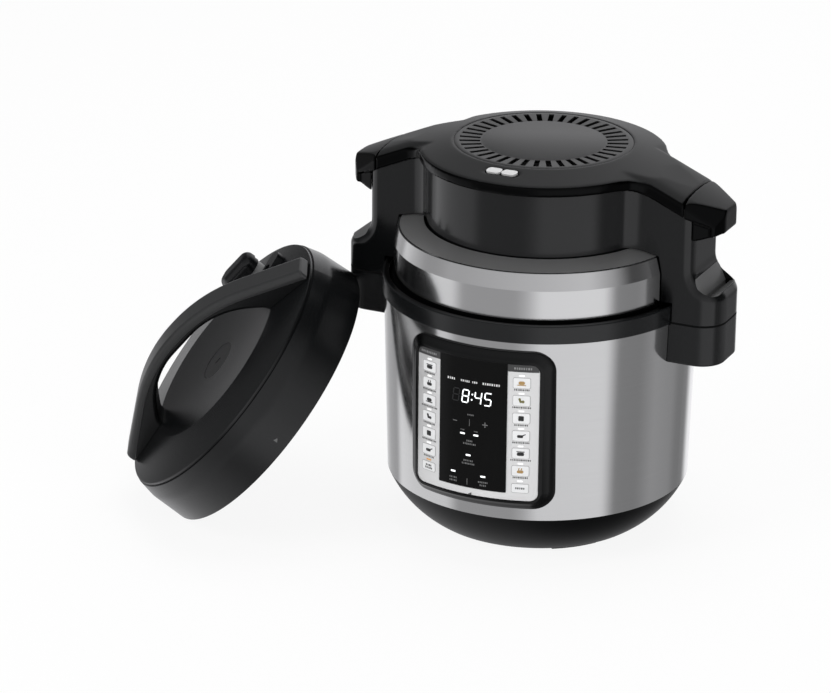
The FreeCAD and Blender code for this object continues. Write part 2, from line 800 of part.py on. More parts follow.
def make_well():
    """Liner that hangs from the collar, and the steel ring whose lugs lock the pressure lid."""
    flange_top = d.collar_shelf_z + d.liner_wall
    flange_rad = d.collar_inner_rad - d.fit_gap
    inside = d.liner_rad - d.liner_wall
    turned("inner_liner", [
        (d.liner_hole_rad, d.liner_floor_z),
        (d.liner_rad, d.liner_floor_z, 9),
        (d.liner_rad, d.collar_shelf_z, 2),
        (flange_rad, d.collar_shelf_z),
        (flange_rad, flange_top),
        (inside, flange_top, 3),
        (inside, d.liner_floor_z + d.liner_wall, 8),
        (d.liner_hole_rad, d.liner_floor_z + d.liner_wall),
    ])
    body = turned("locking_ring", [
        (d.lock_ring_rad, flange_top),
        (flange_rad, flange_top),
        (flange_rad, flange_top + d.lock_ring_height),
        (d.lock_ring_rad, flange_top + d.lock_ring_height),
    ])
    lug = new_sketch(body, "YZ_Plane", "lug")
    lug_top = flange_top + d.lock_ring_height
    outline(lug, box_corners(d.lug_reach_rad, d.lock_ring_rad + 1, lug_top - d.lug_thick, lug_top))
    block = body.newObject("PartDesign::Revolution", "lug_turned")
    block.Profile = lug
    block.ReferenceAxis = (lug, ["V_Axis"])
    block.Midplane = True
    bind(block, "Angle", 26)
    finish_feature(body, block, True)
    repeat(body, [block], 8)


def make_heating_plate():
    """Cast plate with a crowned top, a hole for the sensor and three legs on the liner's floor."""
    low = d.plate_top_z - d.plate_thick
    body = turned("heating_plate", [
        (d.plate_hole_rad, low),
        (d.plate_rad, low, 1),
        (d.plate_rad, d.plate_top_z - 1.2, 1),
        (d.plate_hole_rad, d.plate_top_z),
    ])
    leg = new_sketch(body, "XY_Plane", "leg", d.liner_floor_z + d.liner_wall)
    ring(leg, 5, d.plate_rad - 10, 0)
    leg_pad = pad(body, leg, low - d.liner_floor_z - d.liner_wall)
    repeat(body, [leg_pad], 3)
    body = new_body("plate_element")
    sketch = new_sketch(body, "YZ_Plane", "tube")
    ring(sketch, d.element_tube_rad, d.element_rad, low - d.element_tube_rad)
    block = body.newObject("PartDesign::Revolution", "tube_turned")
    block.Profile = sketch
    block.ReferenceAxis = (sketch, ["V_Axis"])
    block.Midplane = True
    bind(block, "Angle", 320)
    finish_feature(body, block, True)
    turn_node(body, 150)


def make_inner_pot():
    """Lift-out pot: straight wall, rounded bottom corner and a rolled rim."""
    low = d.plate_top_z + d.fit_gap
    high = low + d.pot_height
    inside = d.pot_rad - d.pot_wall
    turned("inner_pot", [
        (0, low),
        (d.pot_rad, low, d.pot_corner_rad),
        (d.pot_rad, high - 2.2, 1.5),
        (d.pot_rim_rad, high - 2.2, 0.8),
        (d.pot_rim_rad, high, 0.8),
        (inside, high, 1.5),
        (inside, low + d.pot_wall, d.pot_corner_rad - d.pot_wall),
        (0, low + d.pot_wall),
    ])


def make_sensor():
    """Sprung button under the pot, with its spring and the cup that carries both."""
    cap_low = d.plate_top_z - 3.5
    cup_top = d.liner_floor_z
    cup_floor = d.liner_floor_z - 15
    turned("sensor_button", [
        (0, cup_floor - 5),
        (d.sensor_stem_rad, cup_floor - 5, 0.8),
        (d.sensor_stem_rad, cap_low),
        (d.sensor_cap_rad - 3, cap_low),
        (d.sensor_cap_rad - 3, cap_low + 1.2),
        (d.sensor_cap_rad, cap_low + 1.2),
        (d.sensor_cap_rad, d.plate_top_z, 1),
        (0, d.plate_top_z),
    ])
    guide = d.sensor_stem_rad + d.slip_gap
    turned("sensor_cup", [
        (guide, cup_floor - 1.5),
        (d.sensor_cap_rad + 1.5, cup_floor - 1.5, 1.5),
        (d.sensor_cap_rad + 1.5, cup_top - 1.5, 1),
        (d.liner_hole_rad + 8, cup_top - 1.5),
        (d.liner_hole_rad + 8, cup_top),
        (d.sensor_cap_rad, cup_top),
        (d.sensor_cap_rad, cup_floor, 0.8),
        (guide, cup_floor),
    ])
    body = new_body("sensor_spring")
    sketch = new_sketch(body, "XZ_Plane", "wire")
    first = cup_floor + d.spring_wire_rad + 0.1
    length = cap_low - cup_floor - 2 * d.spring_wire_rad - 0.3
    ring(sketch, d.spring_wire_rad, d.spring_rad, first)
    coil = body.newObject("PartDesign::AdditiveHelix", "spring_coil")
    coil.Profile = sketch
    coil.ReferenceAxis = (sketch, ["V_Axis"])
    coil.Mode = "height-turns-growth"
    bind(coil, "Height", length)
    bind(coil, "Turns", d.spring_turns)
    finish_feature(body, coil, True)


def is_handle_rim(edge, mid, height):
    """True for the outer edges of a handle's plan outline at a height."""
    level = abs(edge.BoundBox.ZMax - height) < 0.01 and abs(edge.BoundBox.ZMin - height) < 0.01
    on_side = abs(abs(mid.y) - d.handle_half.value) < 0.05
    on_end = abs(abs(mid.x) - d.handle_reach.value) < 0.05
    on_corner = hasattr(edge.Curve, "Radius") and abs(edge.Curve.Radius - d.handle_corner.value) < 0.05
    return level and (on_side or on_end or on_corner)


def make_handle(side):
    """Carrying handle on the side of the body, hollow underneath for the fingers."""
    name = "right_base_handle" if side > 0 else "left_base_handle"
    body = new_body(name)
    plan = new_sketch(body, "XY_Plane", "plan", d.handle_low_z)
    near = d.shell_low_rad - 20
    top = d.seam_z - d.fit_gap
    reach, half, corner = d.handle_reach, d.handle_half, d.handle_corner
    outline(plan, [(near, -half), (reach, -half, corner), (reach, half, corner), (near, half)])
    pad(body, plan, top - d.handle_low_z)
    soften(body, 2, lambda edge, mid: is_handle_rim(edge, mid, d.handle_low_z.value))
    wall = d.handle_wall
    hollow = new_sketch(body, "XY_Plane", "hollow", d.handle_low_z)
    outline(hollow, [
        (near, -(half - wall)),
        (reach - wall, -(half - wall), corner - wall),
        (reach - wall, half - wall, corner - wall),
        (near, half - wall),
    ])
    pocket(body, hollow, top - d.handle_low_z - d.handle_deck, back=True)
    inner = new_sketch(body, "XZ_Plane", "body_side")
    outline(inner, [
        (0, d.handle_low_z - 10),
        (shell_radius(d.handle_low_z - 10) + d.fit_gap, d.handle_low_z - 10),
        (shell_radius(d.shell_top_z) + d.fit_gap, d.shell_top_z - 1),
        (d.collar_rad + d.fit_gap, d.shell_top_z - 1),
        (d.collar_rad + d.fit_gap, d.seam_z + 10),
        (0, d.seam_z + 10),
    ])
    revolve(body, inner, cut=True)
    if side > 0:
        well = new_sketch(body, "XY_Plane", "socket_well", top)
        gap = d.fit_gap
        outline(well, box_corners(
            d.socket_x - d.socket_deep / 2 - gap, d.socket_x + d.socket_deep / 2 + gap,
            -(d.socket_half + gap), d.socket_half + gap))
        pocket(body, well, d.handle_deck)
    else:
        turn_node(body, 180)


def pin_places():
    """Plan places of the three contacts between the frying lid and the base."""
    return [(d.socket_x, -d.pin_spacing), (d.socket_x, as_size(0)), (d.socket_x, d.pin_spacing)]


def make_lid_socket():
    """Socket in the right handle that powers the frying lid."""
    body = new_body("lid_socket")
    top = d.seam_z - d.fit_gap
    block = new_sketch(body, "XY_Plane", "block", top)
    outline(block, box_corners(
        d.socket_x - d.socket_deep / 2, d.socket_x + d.socket_deep / 2,
        -d.socket_half, d.socket_half, 1))
    pad(body, block, d.socket_tall, back=True)
    flange = new_sketch(body, "XY_Plane", "flange", top - d.handle_deck)
    outline(flange, box_corners(
        d.socket_x - d.socket_deep / 2 - 2, d.socket_x + d.socket_deep / 2 + 2,
        -(d.socket_half + 3), d.socket_half + 3))
    pad(body, flange, 2, back=True)
    holes = new_sketch(body, "XY_Plane", "holes", top)
    for x, y in pin_places():
        ring(holes, d.pin_rad + d.fit_gap, x, y)
    pocket(body, holes, d.pin_length + 1)


# ---------------------------------------------------------------------------
# Control panel and rear of the body
# ---------------------------------------------------------------------------
def curved_panel(name, low_rad, high_rad, half, low_z, high_z, corner):
    """A plate bent round the front of the body, with a rounded outline seen from the front."""
    body = new_body(name)
    sketch = new_sketch(body, "YZ_Plane", "thickness")
    outline(sketch, [
        (-high_rad, low_z), (-low_rad(low_z), low_z), (-low_rad(high_z), high_z), (-high_rad, high_z)])
    block = body.newObject("PartDesign::Revolution", f"{name}_turned")
    block.Profile = sketch
    block.ReferenceAxis = (sketch, ["V_Axis"])
    block.Midplane = True
    bind(block, "Angle", 64)
    finish_feature(body, block, True)
    trim = new_sketch(body, "XZ_Plane", "trim")
    outline(trim, box_corners(-half, half, low_z, high_z, corner))
    outline(trim, box_corners(-2 * half, 2 * half, low_z - 20, high_z + 20))
    pocket(body, trim, back=True)
    return body


def make_panel():
    """Bezel, printed panel with its posts, circuit board and display behind the window."""
    over_shell = lambda z: shell_radius(z) + d.fit_gap
    bezel = curved_panel("panel_bezel", over_shell, d.bezel_rad, d.bezel_half,
                         d.bezel_low_z, d.bezel_top_z, d.bezel_corner)
    gap = d.fit_gap
    opening = new_sketch(bezel, "XZ_Plane", "opening")
    outline(opening, box_corners(
        -(d.panel_half + gap), d.panel_half + gap,
        d.panel_low_z - gap, d.panel_top_z + gap, d.panel_corner + gap))
    pocket(bezel, opening, back=True)
    face = curved_panel("control_panel", over_shell, d.panel_rad, d.panel_half,
                        d.panel_low_z, d.panel_top_z, d.panel_corner)
    board_front = d.shell_low_rad - 9.5
    posts = new_sketch(face, "XZ_Plane", "posts", board_front)
    middle = (d.panel_low_z + d.panel_top_z) / 2
    for x in (-(d.board_width / 2 - 6), d.board_width / 2 - 6):
        for z in (middle - d.board_height / 2 + 6, middle + d.board_height / 2 - 6):
            ring(posts, 2.5, x, z)
    pad(face, posts, d.panel_rad - board_front - 5)
    board = new_body("control_board")
    sheet_sketch = new_sketch(board, "XZ_Plane", "board", board_front)
    outline(sheet_sketch, box_corners(
        -(d.board_width / 2), d.board_width / 2,
        middle - d.board_height / 2, middle + d.board_height / 2, 2))
    pad(board, sheet_sketch, d.board_thick, back=True)
    parts = new_sketch(board, "XZ_Plane", "chips", board_front - d.board_thick)
    for z in (middle - 40, middle - 12, middle + 22):
        outline(parts, box_corners(-12, 8, z, z + 14))
    pad(board, parts, 3, back=True)
    display = new_body("display_module")
    block = new_sketch(display, "XZ_Plane", "block", board_front)
    outline(block, box_corners(-22, 26, d.display_z - 12, d.display_z + 12, 1))
    pad(display, block, d.panel_rad - board_front - 10.5)


def make_power_inlet():
    """Appliance inlet at the rear: a flanged box with a chamfered recess and three blades."""
    body = new_body("power_inlet")
    back_y = shell_radius(d.inlet_z) - 26
    front_y = shell_radius(d.inlet_z + d.inlet_height) + d.fit_gap
    half, tall = d.inlet_width / 2, d.inlet_height / 2
    z = d.inlet_z
    box = new_sketch(body, "XZ_Plane", "box", -back_y)
    outline(box, box_corners(-half, half, z - tall, z + tall, 1.5))
    pad(body, box, front_y - back_y, back=True)
    flange = new_sketch(body, "XZ_Plane", "flange", -front_y)
    outline(flange, box_corners(-(half + 5), half + 5, z - tall - 5, z + tall + 5, 4))
    pad(body, flange, 3, back=True)
    recess = new_sketch(body, "XZ_Plane", "recess", -(front_y + 3))
    inner, high = half - 2.5, tall - 2.5
    outline(recess, [
        (-inner, z - high), (inner, z - high), (inner, z + high - 4),
        (inner - 4, z + high), (-(inner - 4), z + high), (-inner, z + high - 4)])
    pocket(body, recess, 18, back=True)
    blades = new_body("inlet_blades")
    blades.AllowCompound = True
    sketch = new_sketch(blades, "XZ_Plane", "blades", -(front_y - 15))
    for x, rise in ((-7, -1.5), (0, 2.5), (7, -1.5)):
        outline(sketch, box_corners(x - 1, x + 1, z + rise - 2, z + rise + 2))
    pad(blades, sketch, 14, back=True)


def make_power_board():
    """Board on posts in the bottom, with a transformer, a relay and two capacitors."""
    body = new_body("power_board")
    x, deep, wide, z = d.power_board_x, d.power_board_deep, d.power_board_wide, d.power_board_z
    base = new_sketch(body, "XY_Plane", "board", z)
    outline(base, box_corners(x - deep / 2, x + deep / 2, -(wide / 2), wide / 2, 1))
    pad(body, base, d.board_thick)
    blocks = new_sketch(body, "XY_Plane", "blocks", z + d.board_thick)
    outline(blocks, box_corners(x - 12, x + 10, 2, 26, 1))
    outline(blocks, box_corners(x - 14, x + 2, -28, -12, 1))
    pad(body, blocks, 9)
    cans = new_sketch(body, "XY_Plane", "cans", z + d.board_thick)
    ring(cans, 4, x + 14, -10)
    ring(cans, 4, x + 14, -22)
    pad(body, cans, 8)
    turn_node(body, 45)


def make_condensation_cup():
    """Small cup that catches drips at the rear, and the holder it slides out of."""
    holder = new_body("cup_holder")
    half, gap = d.cup_width / 2, d.fit_gap
    plate_y = d.collar_rad + gap
    low, top = d.cup_top_z - d.cup_height, d.cup_top_z
    plan = new_sketch(holder, "XY_Plane", "plan", low - 3)
    outer = plate_y + 2
    outline(plan, [
        (-(half + 3), plate_y - 14), (half + 3, plate_y - 14), (half + 3, outer + 9, 1),
        (half + gap, outer + 9, 1), (half + gap, outer), (-(half + gap), outer),
        (-(half + gap), outer + 9, 1), (-(half + 3), outer + 9, 1)])
    pad(holder, plan, d.cup_height + 5)
    back = new_sketch(holder, "XZ_Plane", "body_side")
    outline(back, [
        (0, low - 20), (shell_radius(low - 20) + gap, low - 20),
        (shell_radius(d.shell_top_z) + gap, d.shell_top_z), (0, d.shell_top_z)])
    revolve(holder, back, cut=True)
    cup = new_body("condensation_cup")
    cup_plan = new_sketch(cup, "XY_Plane", "plan", low)
    near = outer + gap
    outline(cup_plan, [
        (-half, near), (half, near), (half, near + d.cup_depth, 8), (-half, near + d.cup_depth, 8)])
    pad(cup, cup_plan, d.cup_height)
    inside = new_sketch(cup, "XY_Plane", "inside", top)
    wall = d.cup_wall
    outline(inside, [
        (-(half - wall), near + wall), (half - wall, near + wall),
        (half - wall, near + d.cup_depth - wall, 8 - wall),
        (-(half - wall), near + d.cup_depth - wall, 8 - wall)])
    pocket(cup, inside, d.cup_height - wall)


# ---------------------------------------------------------------------------
# Frying lid: moulded housing with two arms, steel ring, heater and fan
# ---------------------------------------------------------------------------
def arm_top(x, drop=0):
    """Height of an arm's top line beyond its knee."""
    slope = (d.arm_knee_z - d.arm_tip_z) / (d.handle_reach - d.arm_knee_x)
    return d.arm_knee_z - slope * (x - d.arm_knee_x) - drop


def crown_line(drop=0):
    """Half of the lid's top line seen from the front, from the middle out past the tip."""
    far = d.handle_reach + 30
    return [
        (d.crown_rad, d.crown_z - drop),
        (d.arm_knee_x, d.arm_knee_z - drop, 150),
        (far, arm_top(far, drop)),
    ]


def roll_off_arm(body, side):
    """Roll the top of an arm off to its two long edges, less and less towards the drum."""
    seam, top, edge, flat = d.cap_seam_x, arm_top(d.cap_seam_x), d.lip_half + 1, d.lip_half - 13
    sketch = new_sketch(body, "YZ_Plane", "roof_right" if side > 0 else "roof_left", seam * side)
    low = top - d.roof_fall
    outline(sketch, [
        (-(edge + 34), low - 3), (-edge, low, None, -26), (-flat, top - 2, None, -180),
        (flat, top - 2, None, -26), (edge, low), (edge + 34, low - 3),
        (edge + 34, top + 60), (-(edge + 34), top + 60)])
    slanted_pocket(body, sketch, Vector(side, 0, -0.43), 150)


def cut_above_crown(body, drop=0):
    """Cut away everything above the lid's top line."""
    sketch = new_sketch(body, "XZ_Plane", "crown")
    right = crown_line(drop)
    far = right[-1][0]
    left = [(-corner[0],) + corner[1:] for corner in reversed(right)]
    outline(sketch, [(-far, d.crown_z + 40)] + left + right + [(far, d.crown_z + 40)])
    pocket(body, sketch, 2 * d.lip_rad + 40, both=True)


def make_top_cover():
    """Satin top: a crowned disc with two drooping arms and an overhanging lip all round."""
    body = new_body("lid_top_cover")
    low = d.chin_z - 10
    disc = new_sketch(body, "XY_Plane", "disc", low)
    ring(disc, d.lip_rad)
    pad(body, disc, d.crown_z - low + 1)
    arms = new_sketch(body, "XY_Plane", "arms", low)
    outline(arms, box_corners(-d.cap_seam_x, d.cap_seam_x, -d.lip_half, d.lip_half))
    pad(body, arms, d.crown_z - low + 1)
    blend_arms(body, d.lip_rad, d.lip_half)
    cut_above_crown(body)
    cone = new_sketch(body, "XZ_Plane", "cone")
    reach = d.handle_reach + 30
    outline(cone, [
        (d.crown_rad, d.crown_z), (reach, d.crown_z - d.crown_slope * (reach - d.crown_rad)),
        (reach, d.crown_z + 20), (d.crown_rad, d.crown_z + 20)])
    revolve(body, cone, cut=True)
    for side in (1, -1):
        roll_off_arm(body, side)
    under = new_sketch(body, "XZ_Plane", "lip_line")
    seam = d.cap_seam_x + 1
    outline(under, [
        (-seam, low - 1), (seam, low - 1), (seam, d.lip_knee_z),
        (d.lip_drop_x, d.lip_low_z, 40), (-d.lip_drop_x, d.lip_low_z, 40), (-seam, d.lip_knee_z)])
    pocket(body, under, 2 * d.lip_rad + 40, both=True)
    hollow = new_sketch(body, "XZ_Plane", "hollow")
    inside = d.drum_rad + d.fit_gap
    ceiling = d.crown_z - d.cover_wall
    outline(hollow, [
        (0, low), (inside, low), (inside, ceiling - d.crown_slope * (inside - d.crown_rad)),
        (d.crown_rad, ceiling), (0, ceiling)])
    revolve(body, hollow, cut=True)
    channel = new_sketch(body, "XZ_Plane", "arm_channel")
    drop = d.cover_wall + d.roof_fall
    channel_top = d.drum_top_z + d.fit_gap
    start = d.crown_rad + (d.crown_z - drop - channel_top) / d.crown_slope
    right = [(start, channel_top)] + crown_line(drop)[1:]
    left = [(-corner[0],) + corner[1:] for corner in reversed(right)]
    outline(channel, [(-reach, low - 10)] + left + right + [(reach, low - 10)])
    pocket(body, channel, 2 * (d.handle_half + d.fit_gap), both=True)
    mouth = new_sketch(body, "XY_Plane", "mouth", d.crown_z)
    ring(mouth, d.grille_rad - 3)
    pocket(body, mouth, d.cover_wall + 1)
    ledge = new_sketch(body, "XY_Plane", "ledge", d.crown_z)
    ring(ledge, d.grille_rad + d.fit_gap)
    pocket(body, ledge, d.grille_ledge)
    pill = new_sketch(body, "XY_Plane", "pill", d.crown_z)
    light_outline(pill, d.fit_gap)
    pocket(body, pill, 12)


def blend_arms(body, round_rad, half):
    """Round the four upright corners where the arms leave the drum."""
    meet = math.sqrt(round_rad.value**2 - half.value**2)
    soften(body, d.arm_blend, lambda edge, mid: is_upright(edge)
           and abs(abs(mid.x) - meet) < 0.01 and abs(abs(mid.y) - half.value) < 0.01)


def light_outline(sketch, gap):
    """Pill-shaped outline of the indicator light in the lid's front edge."""
    half, tall = d.light_half + gap, d.light_tall / 2 + gap
    place = -d.light_rad
    outline(sketch, box_corners(-half, half, place - tall, place + tall, tall - 0.1))


def make_indicator():
    """Two-part indicator light: a pill split by a slanted gap."""
    body = new_body("indicator_light")
    body.AllowCompound = True
    top = d.crown_z - d.crown_slope * (d.light_rad - d.crown_rad)
    sketch = new_sketch(body, "XY_Plane", "pill", top + 0.2)
    light_outline(sketch, 0)
    pad(body, sketch, 4, back=True)
    split = new_sketch(body, "XY_Plane", "split", top + 0.2)
    y0, y1 = -d.light_rad - d.light_tall, -d.light_rad + d.light_tall
    outline(split, [(-3.4, y0), (-1.8, y0), (3.4, y1), (1.8, y1)])
    pocket(body, split, 4)


def make_side_housing():
    """Drum and the two columns under the arms, open inside and notched for the fingers."""
    body = new_body("lid_side_housing")
    base = d.seam_z
    disc = new_sketch(body, "XY_Plane", "disc", base)
    ring(disc, d.drum_rad)
    pad(body, disc, d.drum_top_z - base)
    arms = new_sketch(body, "XY_Plane", "arms", base)
    reach, half = d.handle_reach, d.handle_half
    outline(arms, box_corners(-reach, reach, -half, half, d.handle_corner))
    pad(body, arms, d.drum_top_z - base)
    blend_arms(body, d.drum_rad, half)
    fit = d.fit_gap
    cut_above_crown(body, d.cover_wall + d.roof_fall + fit)
    ring_space = new_sketch(body, "XZ_Plane", "ring_space")
    outline(ring_space, [
        (0, base - 5), (d.collar_rad + 1.2, base - 5), (d.collar_rad + 1.2, d.collar_top_z + 3.5),
        (d.ring_rad + 1, d.collar_top_z + 3.5), (d.ring_rad + 1, d.ring_wall_z),
        (d.ring_rim_rad + 1.4, d.ring_rim_z + 1), (d.drum_rad, d.ring_inner_z + 1.4),
        (d.drum_rad, d.drum_low_z), (0, d.drum_low_z)])
    revolve(body, ring_space, cut=True)
    cavity = new_sketch(body, "XZ_Plane", "cavity")
    floor_z = d.drum_low_z + d.drum_floor
    outline(cavity, [
        (0, floor_z), (d.drum_rad - d.drum_wall, floor_z, 3),
        (d.drum_rad - d.drum_wall, d.crown_z + 10), (0, d.crown_z + 10)])
    revolve(body, cavity, cut=True)
    tunnel = new_sketch(body, "XZ_Plane", "arm_inside")
    wall = d.drum_wall
    inner_x = d.notch_wall_x - 2 * wall
    outline(tunnel, box_corners(-inner_x, inner_x, d.ring_inner_z + 6, d.crown_z + 10))
    pocket(body, tunnel, 2 * (half - wall), both=True)
    for side in (1, -1):
        notch = new_sketch(body, "XZ_Plane", "notch_right" if side > 0 else "notch_left")
        corners = [
            (d.notch_wall_x, d.crown_z + 30), (d.notch_wall_x, d.notch_floor_z, d.notch_blend),
            (reach + 30, d.notch_floor_z), (reach + 30, d.crown_z + 30)]
        outline(notch, [(side * c[0],) + tuple(c[1:]) for c in corners][::side])
        pocket(body, notch, 2 * half + 20, both=True)
        seat = new_sketch(body, "XZ_Plane", "cap_seat_right" if side > 0 else "cap_seat_left")
        x0, x1 = (d.cap_seam_x, reach) if side > 0 else (-reach, -d.cap_seam_x)
        outline(seat, box_corners(x0, x1, cap_ceiling(), d.crown_z + 10))
        pocket(body, seat, 2 * half + 20, both=True)
    soften(body, d.column_round, lambda edge, mid: is_upright(edge)
           and abs(abs(mid.x) - d.notch_wall_x.value) < 0.01 and abs(abs(mid.y) - half.value) < 0.01)
    web_x = d.drum_rad - 12.5
    far_x = d.cap_seam_x + 1
    for side in (1, -1):
        for name, place in (("front", half), ("back", -half)):
            web = new_sketch(body, "XZ_Plane", f"web_{name}_{'right' if side > 0 else 'left'}", place)
            corners = [
                (web_x, d.lip_low_z - fit), (d.lip_drop_x, d.lip_low_z - fit, 40),
                (far_x, d.lip_knee_z - fit), (far_x, d.crown_z + 10), (web_x, d.crown_z + 10)]
            outline(web, [(side * c[0],) + tuple(c[1:]) for c in corners][::side])
            pocket(body, web, 30, back=place.value > 0)
    for side in (1, -1):
        scoop = new_sketch(body, "XY_Plane", "scoop_right" if side > 0 else "scoop_left", d.crown_z)
        rim = d.scoop_rim
        corners = box_corners(
            d.notch_wall_x + 1, reach - rim, -(half - rim), half - rim, d.scoop_corner)
        corners[0] = corners[0][:2] + (5,)
        corners[3] = corners[3][:2] + (5,)
        outline(scoop, [(side * c[0],) + tuple(c[1:]) for c in corners][::side])
        pocket(body, scoop, d.crown_z - d.scoop_floor_z)
    shaft_hole = new_sketch(body, "XY_Plane", "shaft_hole", floor_z)
    ring(shaft_hole, d.motor_seat_rad)
    pocket(body, shaft_hole, d.drum_floor)


def make_scoop(side):
    """Trough-shaped insert that lines the finger notch in a column's lower block."""
    body = new_body("right_grip_scoop" if side > 0 else "left_grip_scoop")
    fit, rim = d.fit_gap, d.scoop_rim
    near, far = d.notch_wall_x + 1 + fit, d.handle_reach - rim - fit
    half = d.handle_half - rim - fit
    low = d.scoop_floor_z + fit
    plan = new_sketch(body, "XY_Plane", "plan", low)
    corners = box_corners(near, far, -half, half, d.scoop_corner - fit)
    corners[0] = corners[0][:2] + (5 - fit,)
    corners[3] = corners[3][:2] + (5 - fit,)
    outline(plan, corners)
    pad(body, plan, d.notch_floor_z + 20 - low)
    trough = new_sketch(body, "XZ_Plane", "trough")
    outline(trough, [
        (near - 1, d.notch_floor_z + 30), (near - 1, d.notch_floor_z + 14),
        (near + 8, d.notch_floor_z - 7), (near + 8, low + 1.5), (near + 13, low + 1.5),
        (near + 13, d.notch_floor_z - 7), (far + 1, d.notch_floor_z - 1),
        (far + 1, d.notch_floor_z + 30)])
    pocket(body, trough, 2 * half + 4, both=True)
    if side < 0:
        turn_node(body, 180)


def cap_ceiling():
    """Height of the flat top of a column where the nose cap goes over it."""
    return arm_top(d.notch_wall_x, d.cover_wall + d.roof_fall)


def make_nose_cap(side):
    """Faceted beak at the end of an arm, a piece of its own beyond the seam."""
    body = new_body("right_nose_cap" if side > 0 else "left_nose_cap")
    low = d.notch_top_z - 10
    near = d.cap_seam_x + d.cap_joint
    half, lip = d.lip_half, d.lip_side
    plan = new_sketch(body, "XY_Plane", "plan", low)
    outline(plan, [
        (near, -half), (d.nose_x, -d.nose_half, 3), (d.tip_x, -d.tip_half, 5),
        (d.tip_x, d.tip_half, 5), (d.nose_x, d.nose_half, 3), (near, half)])
    pad(body, plan, d.crown_z - low)
    chin_x = d.nose_x - 3
    below_lip = new_sketch(body, "XZ_Plane", "below_lip")
    outline(below_lip, [
        (near - 5, low - 10), (chin_x, low - 10), (chin_x, d.lip_knee_z - 9),
        (near, d.lip_knee_z), (near - 5, d.lip_knee_z)])
    pocket(body, below_lip, 2 * half + 20, both=True)
    core = new_sketch(body, "XY_Plane", "core", low)
    outline(core, [
        (near, -(half - lip)), (d.nose_x, -(d.nose_half - lip)),
        (d.nose_x, d.nose_half - lip), (near, half - lip)])
    pad(body, core, d.lip_knee_z + 2 - low)
    cut_above_crown(body)
    roll_off_arm(body, 1)
    ridge = arm_top(d.tip_x) - 6
    run = Vector((d.tip_x - d.cap_seam_x).value, (half - 1 - d.tip_half).value, 0)
    run.z = (ridge - arm_top(d.cap_seam_x) + d.roof_fall - 1).value
    for edge_side in (1, -1):
        facet = new_sketch(body, "YZ_Plane", f"facet_{'back' if edge_side > 0 else 'front'}", d.tip_x)
        corners = [
            (d.tip_half + 16, ridge - 30), (d.tip_half + 80, ridge - 30),
            (d.tip_half + 80, ridge + 45), (d.tip_half - 24, ridge + 45)]
        outline(facet, [(edge_side * c[0], c[1]) for c in corners][::edge_side])
        slanted_pocket(body, facet, Vector(run.x, -edge_side * run.y, run.z), 100)
    under = new_sketch(body, "XZ_Plane", "under")
    outline(under, [
        (near - 5, low - 5), (d.tip_x + 10, low - 5), (d.tip_x + 10, d.chin_z + 2),
        (d.tip_x - 3, d.chin_z, 6), (d.notch_wall_x + 2, d.notch_top_z, 12),
        (near - 5, d.notch_top_z)])
    pocket(body, under, 2 * half + 20, both=True)
    seat = new_sketch(body, "XY_Plane", "seat", low)
    column_x, side_y = d.notch_wall_x + d.fit_gap, d.handle_half + d.fit_gap
    outline(seat, [
        (near - 5, -side_y), (column_x, -side_y, d.column_round), (column_x, side_y, d.column_round),
        (near - 5, side_y)])
    pocket(body, seat, cap_ceiling() + d.fit_gap - low, back=True)
    if side < 0:
        turn_node(body, 180)


def make_vent_grille():
    """Round grille in the crown: a flat centre and a ring of radial slots."""
    body = new_body("vent_grille")
    top = d.crown_z
    disc = new_sketch(body, "XY_Plane", "disc", top - d.grille_thick + 0.3)
    ring(disc, d.grille_rad)
    pad(body, disc, d.grille_thick - 0.3)
    dish = new_sketch(body, "XZ_Plane", "dish")
    inner = d.slot_inner_rad - 3
    outline(dish, [
        (inner, top), (inner + 2, top - 1.2), (d.grille_rad - 1, top - 0.3), (d.grille_rad - 1, top + 1),
        (inner, top + 1)])
    revolve(body, dish, cut=True)
    slot = new_sketch(body, "XY_Plane", "slot", top)
    outline(slot, box_corners(
        d.slot_inner_rad, d.slot_outer_rad, -(d.slot_width / 2), d.slot_width / 2,
        d.slot_width / 2 - 0.05))
    cut = pocket(body, slot)
    repeat(body, [cut], 40)


def make_lid_ring():
    """Steel ring round the lid's foot: wall, bevel and a top that rises to the drum."""
    thick = d.ring_thick
    turned("lid_steel_ring", [
        (d.ring_rad - thick, d.ring_low_z),
        (d.ring_rad, d.ring_low_z),
        (d.ring_rad, d.ring_wall_z),
        (d.ring_rim_rad, d.ring_rim_z, 0.8),
        (d.ring_inner_rad, d.ring_inner_z),
        (d.ring_inner_rad, d.ring_inner_z - thick - 0.6),
        (d.ring_rim_rad - thick, d.ring_rim_z - thick),
        (d.ring_rad - thick, d.ring_wall_z - 0.3),
    ])
    seat = d.trough_z + d.fit_gap
    turned("lid_seal", [
        (d.trough_rad - 6.5, seat, 1),
        (d.trough_rad - 1.6, seat, 1.5),
        (d.trough_rad - 1.6, seat + 2.5),
        (d.ring_rad - 1.6, seat + 4),
        (d.ring_rad - 1.6, d.ring_low_z - d.fit_gap),
        (d.trough_rad - 6.5, d.ring_low_z - d.fit_gap),
    ])


def make_heat_pan():
    """Inverted steel pan above the heater, with a flange out to the ring."""
    thick = d.ring_thick
    body = turned("heat_pan", [
        (d.shaft_rad + 2, d.pan_top_z),
        (d.pan_rad, d.pan_top_z, 6),
        (d.pan_rad, d.ring_low_z),
        (d.ring_rad - thick - d.fit_gap, d.ring_low_z),
        (d.ring_rad - thick - d.fit_gap, d.ring_low_z + thick),
        (d.pan_rad + thick, d.ring_low_z + thick),
        (d.pan_rad + thick, d.pan_top_z + thick, 7),
        (d.shaft_rad + 2, d.pan_top_z + thick),
    ])
    return body


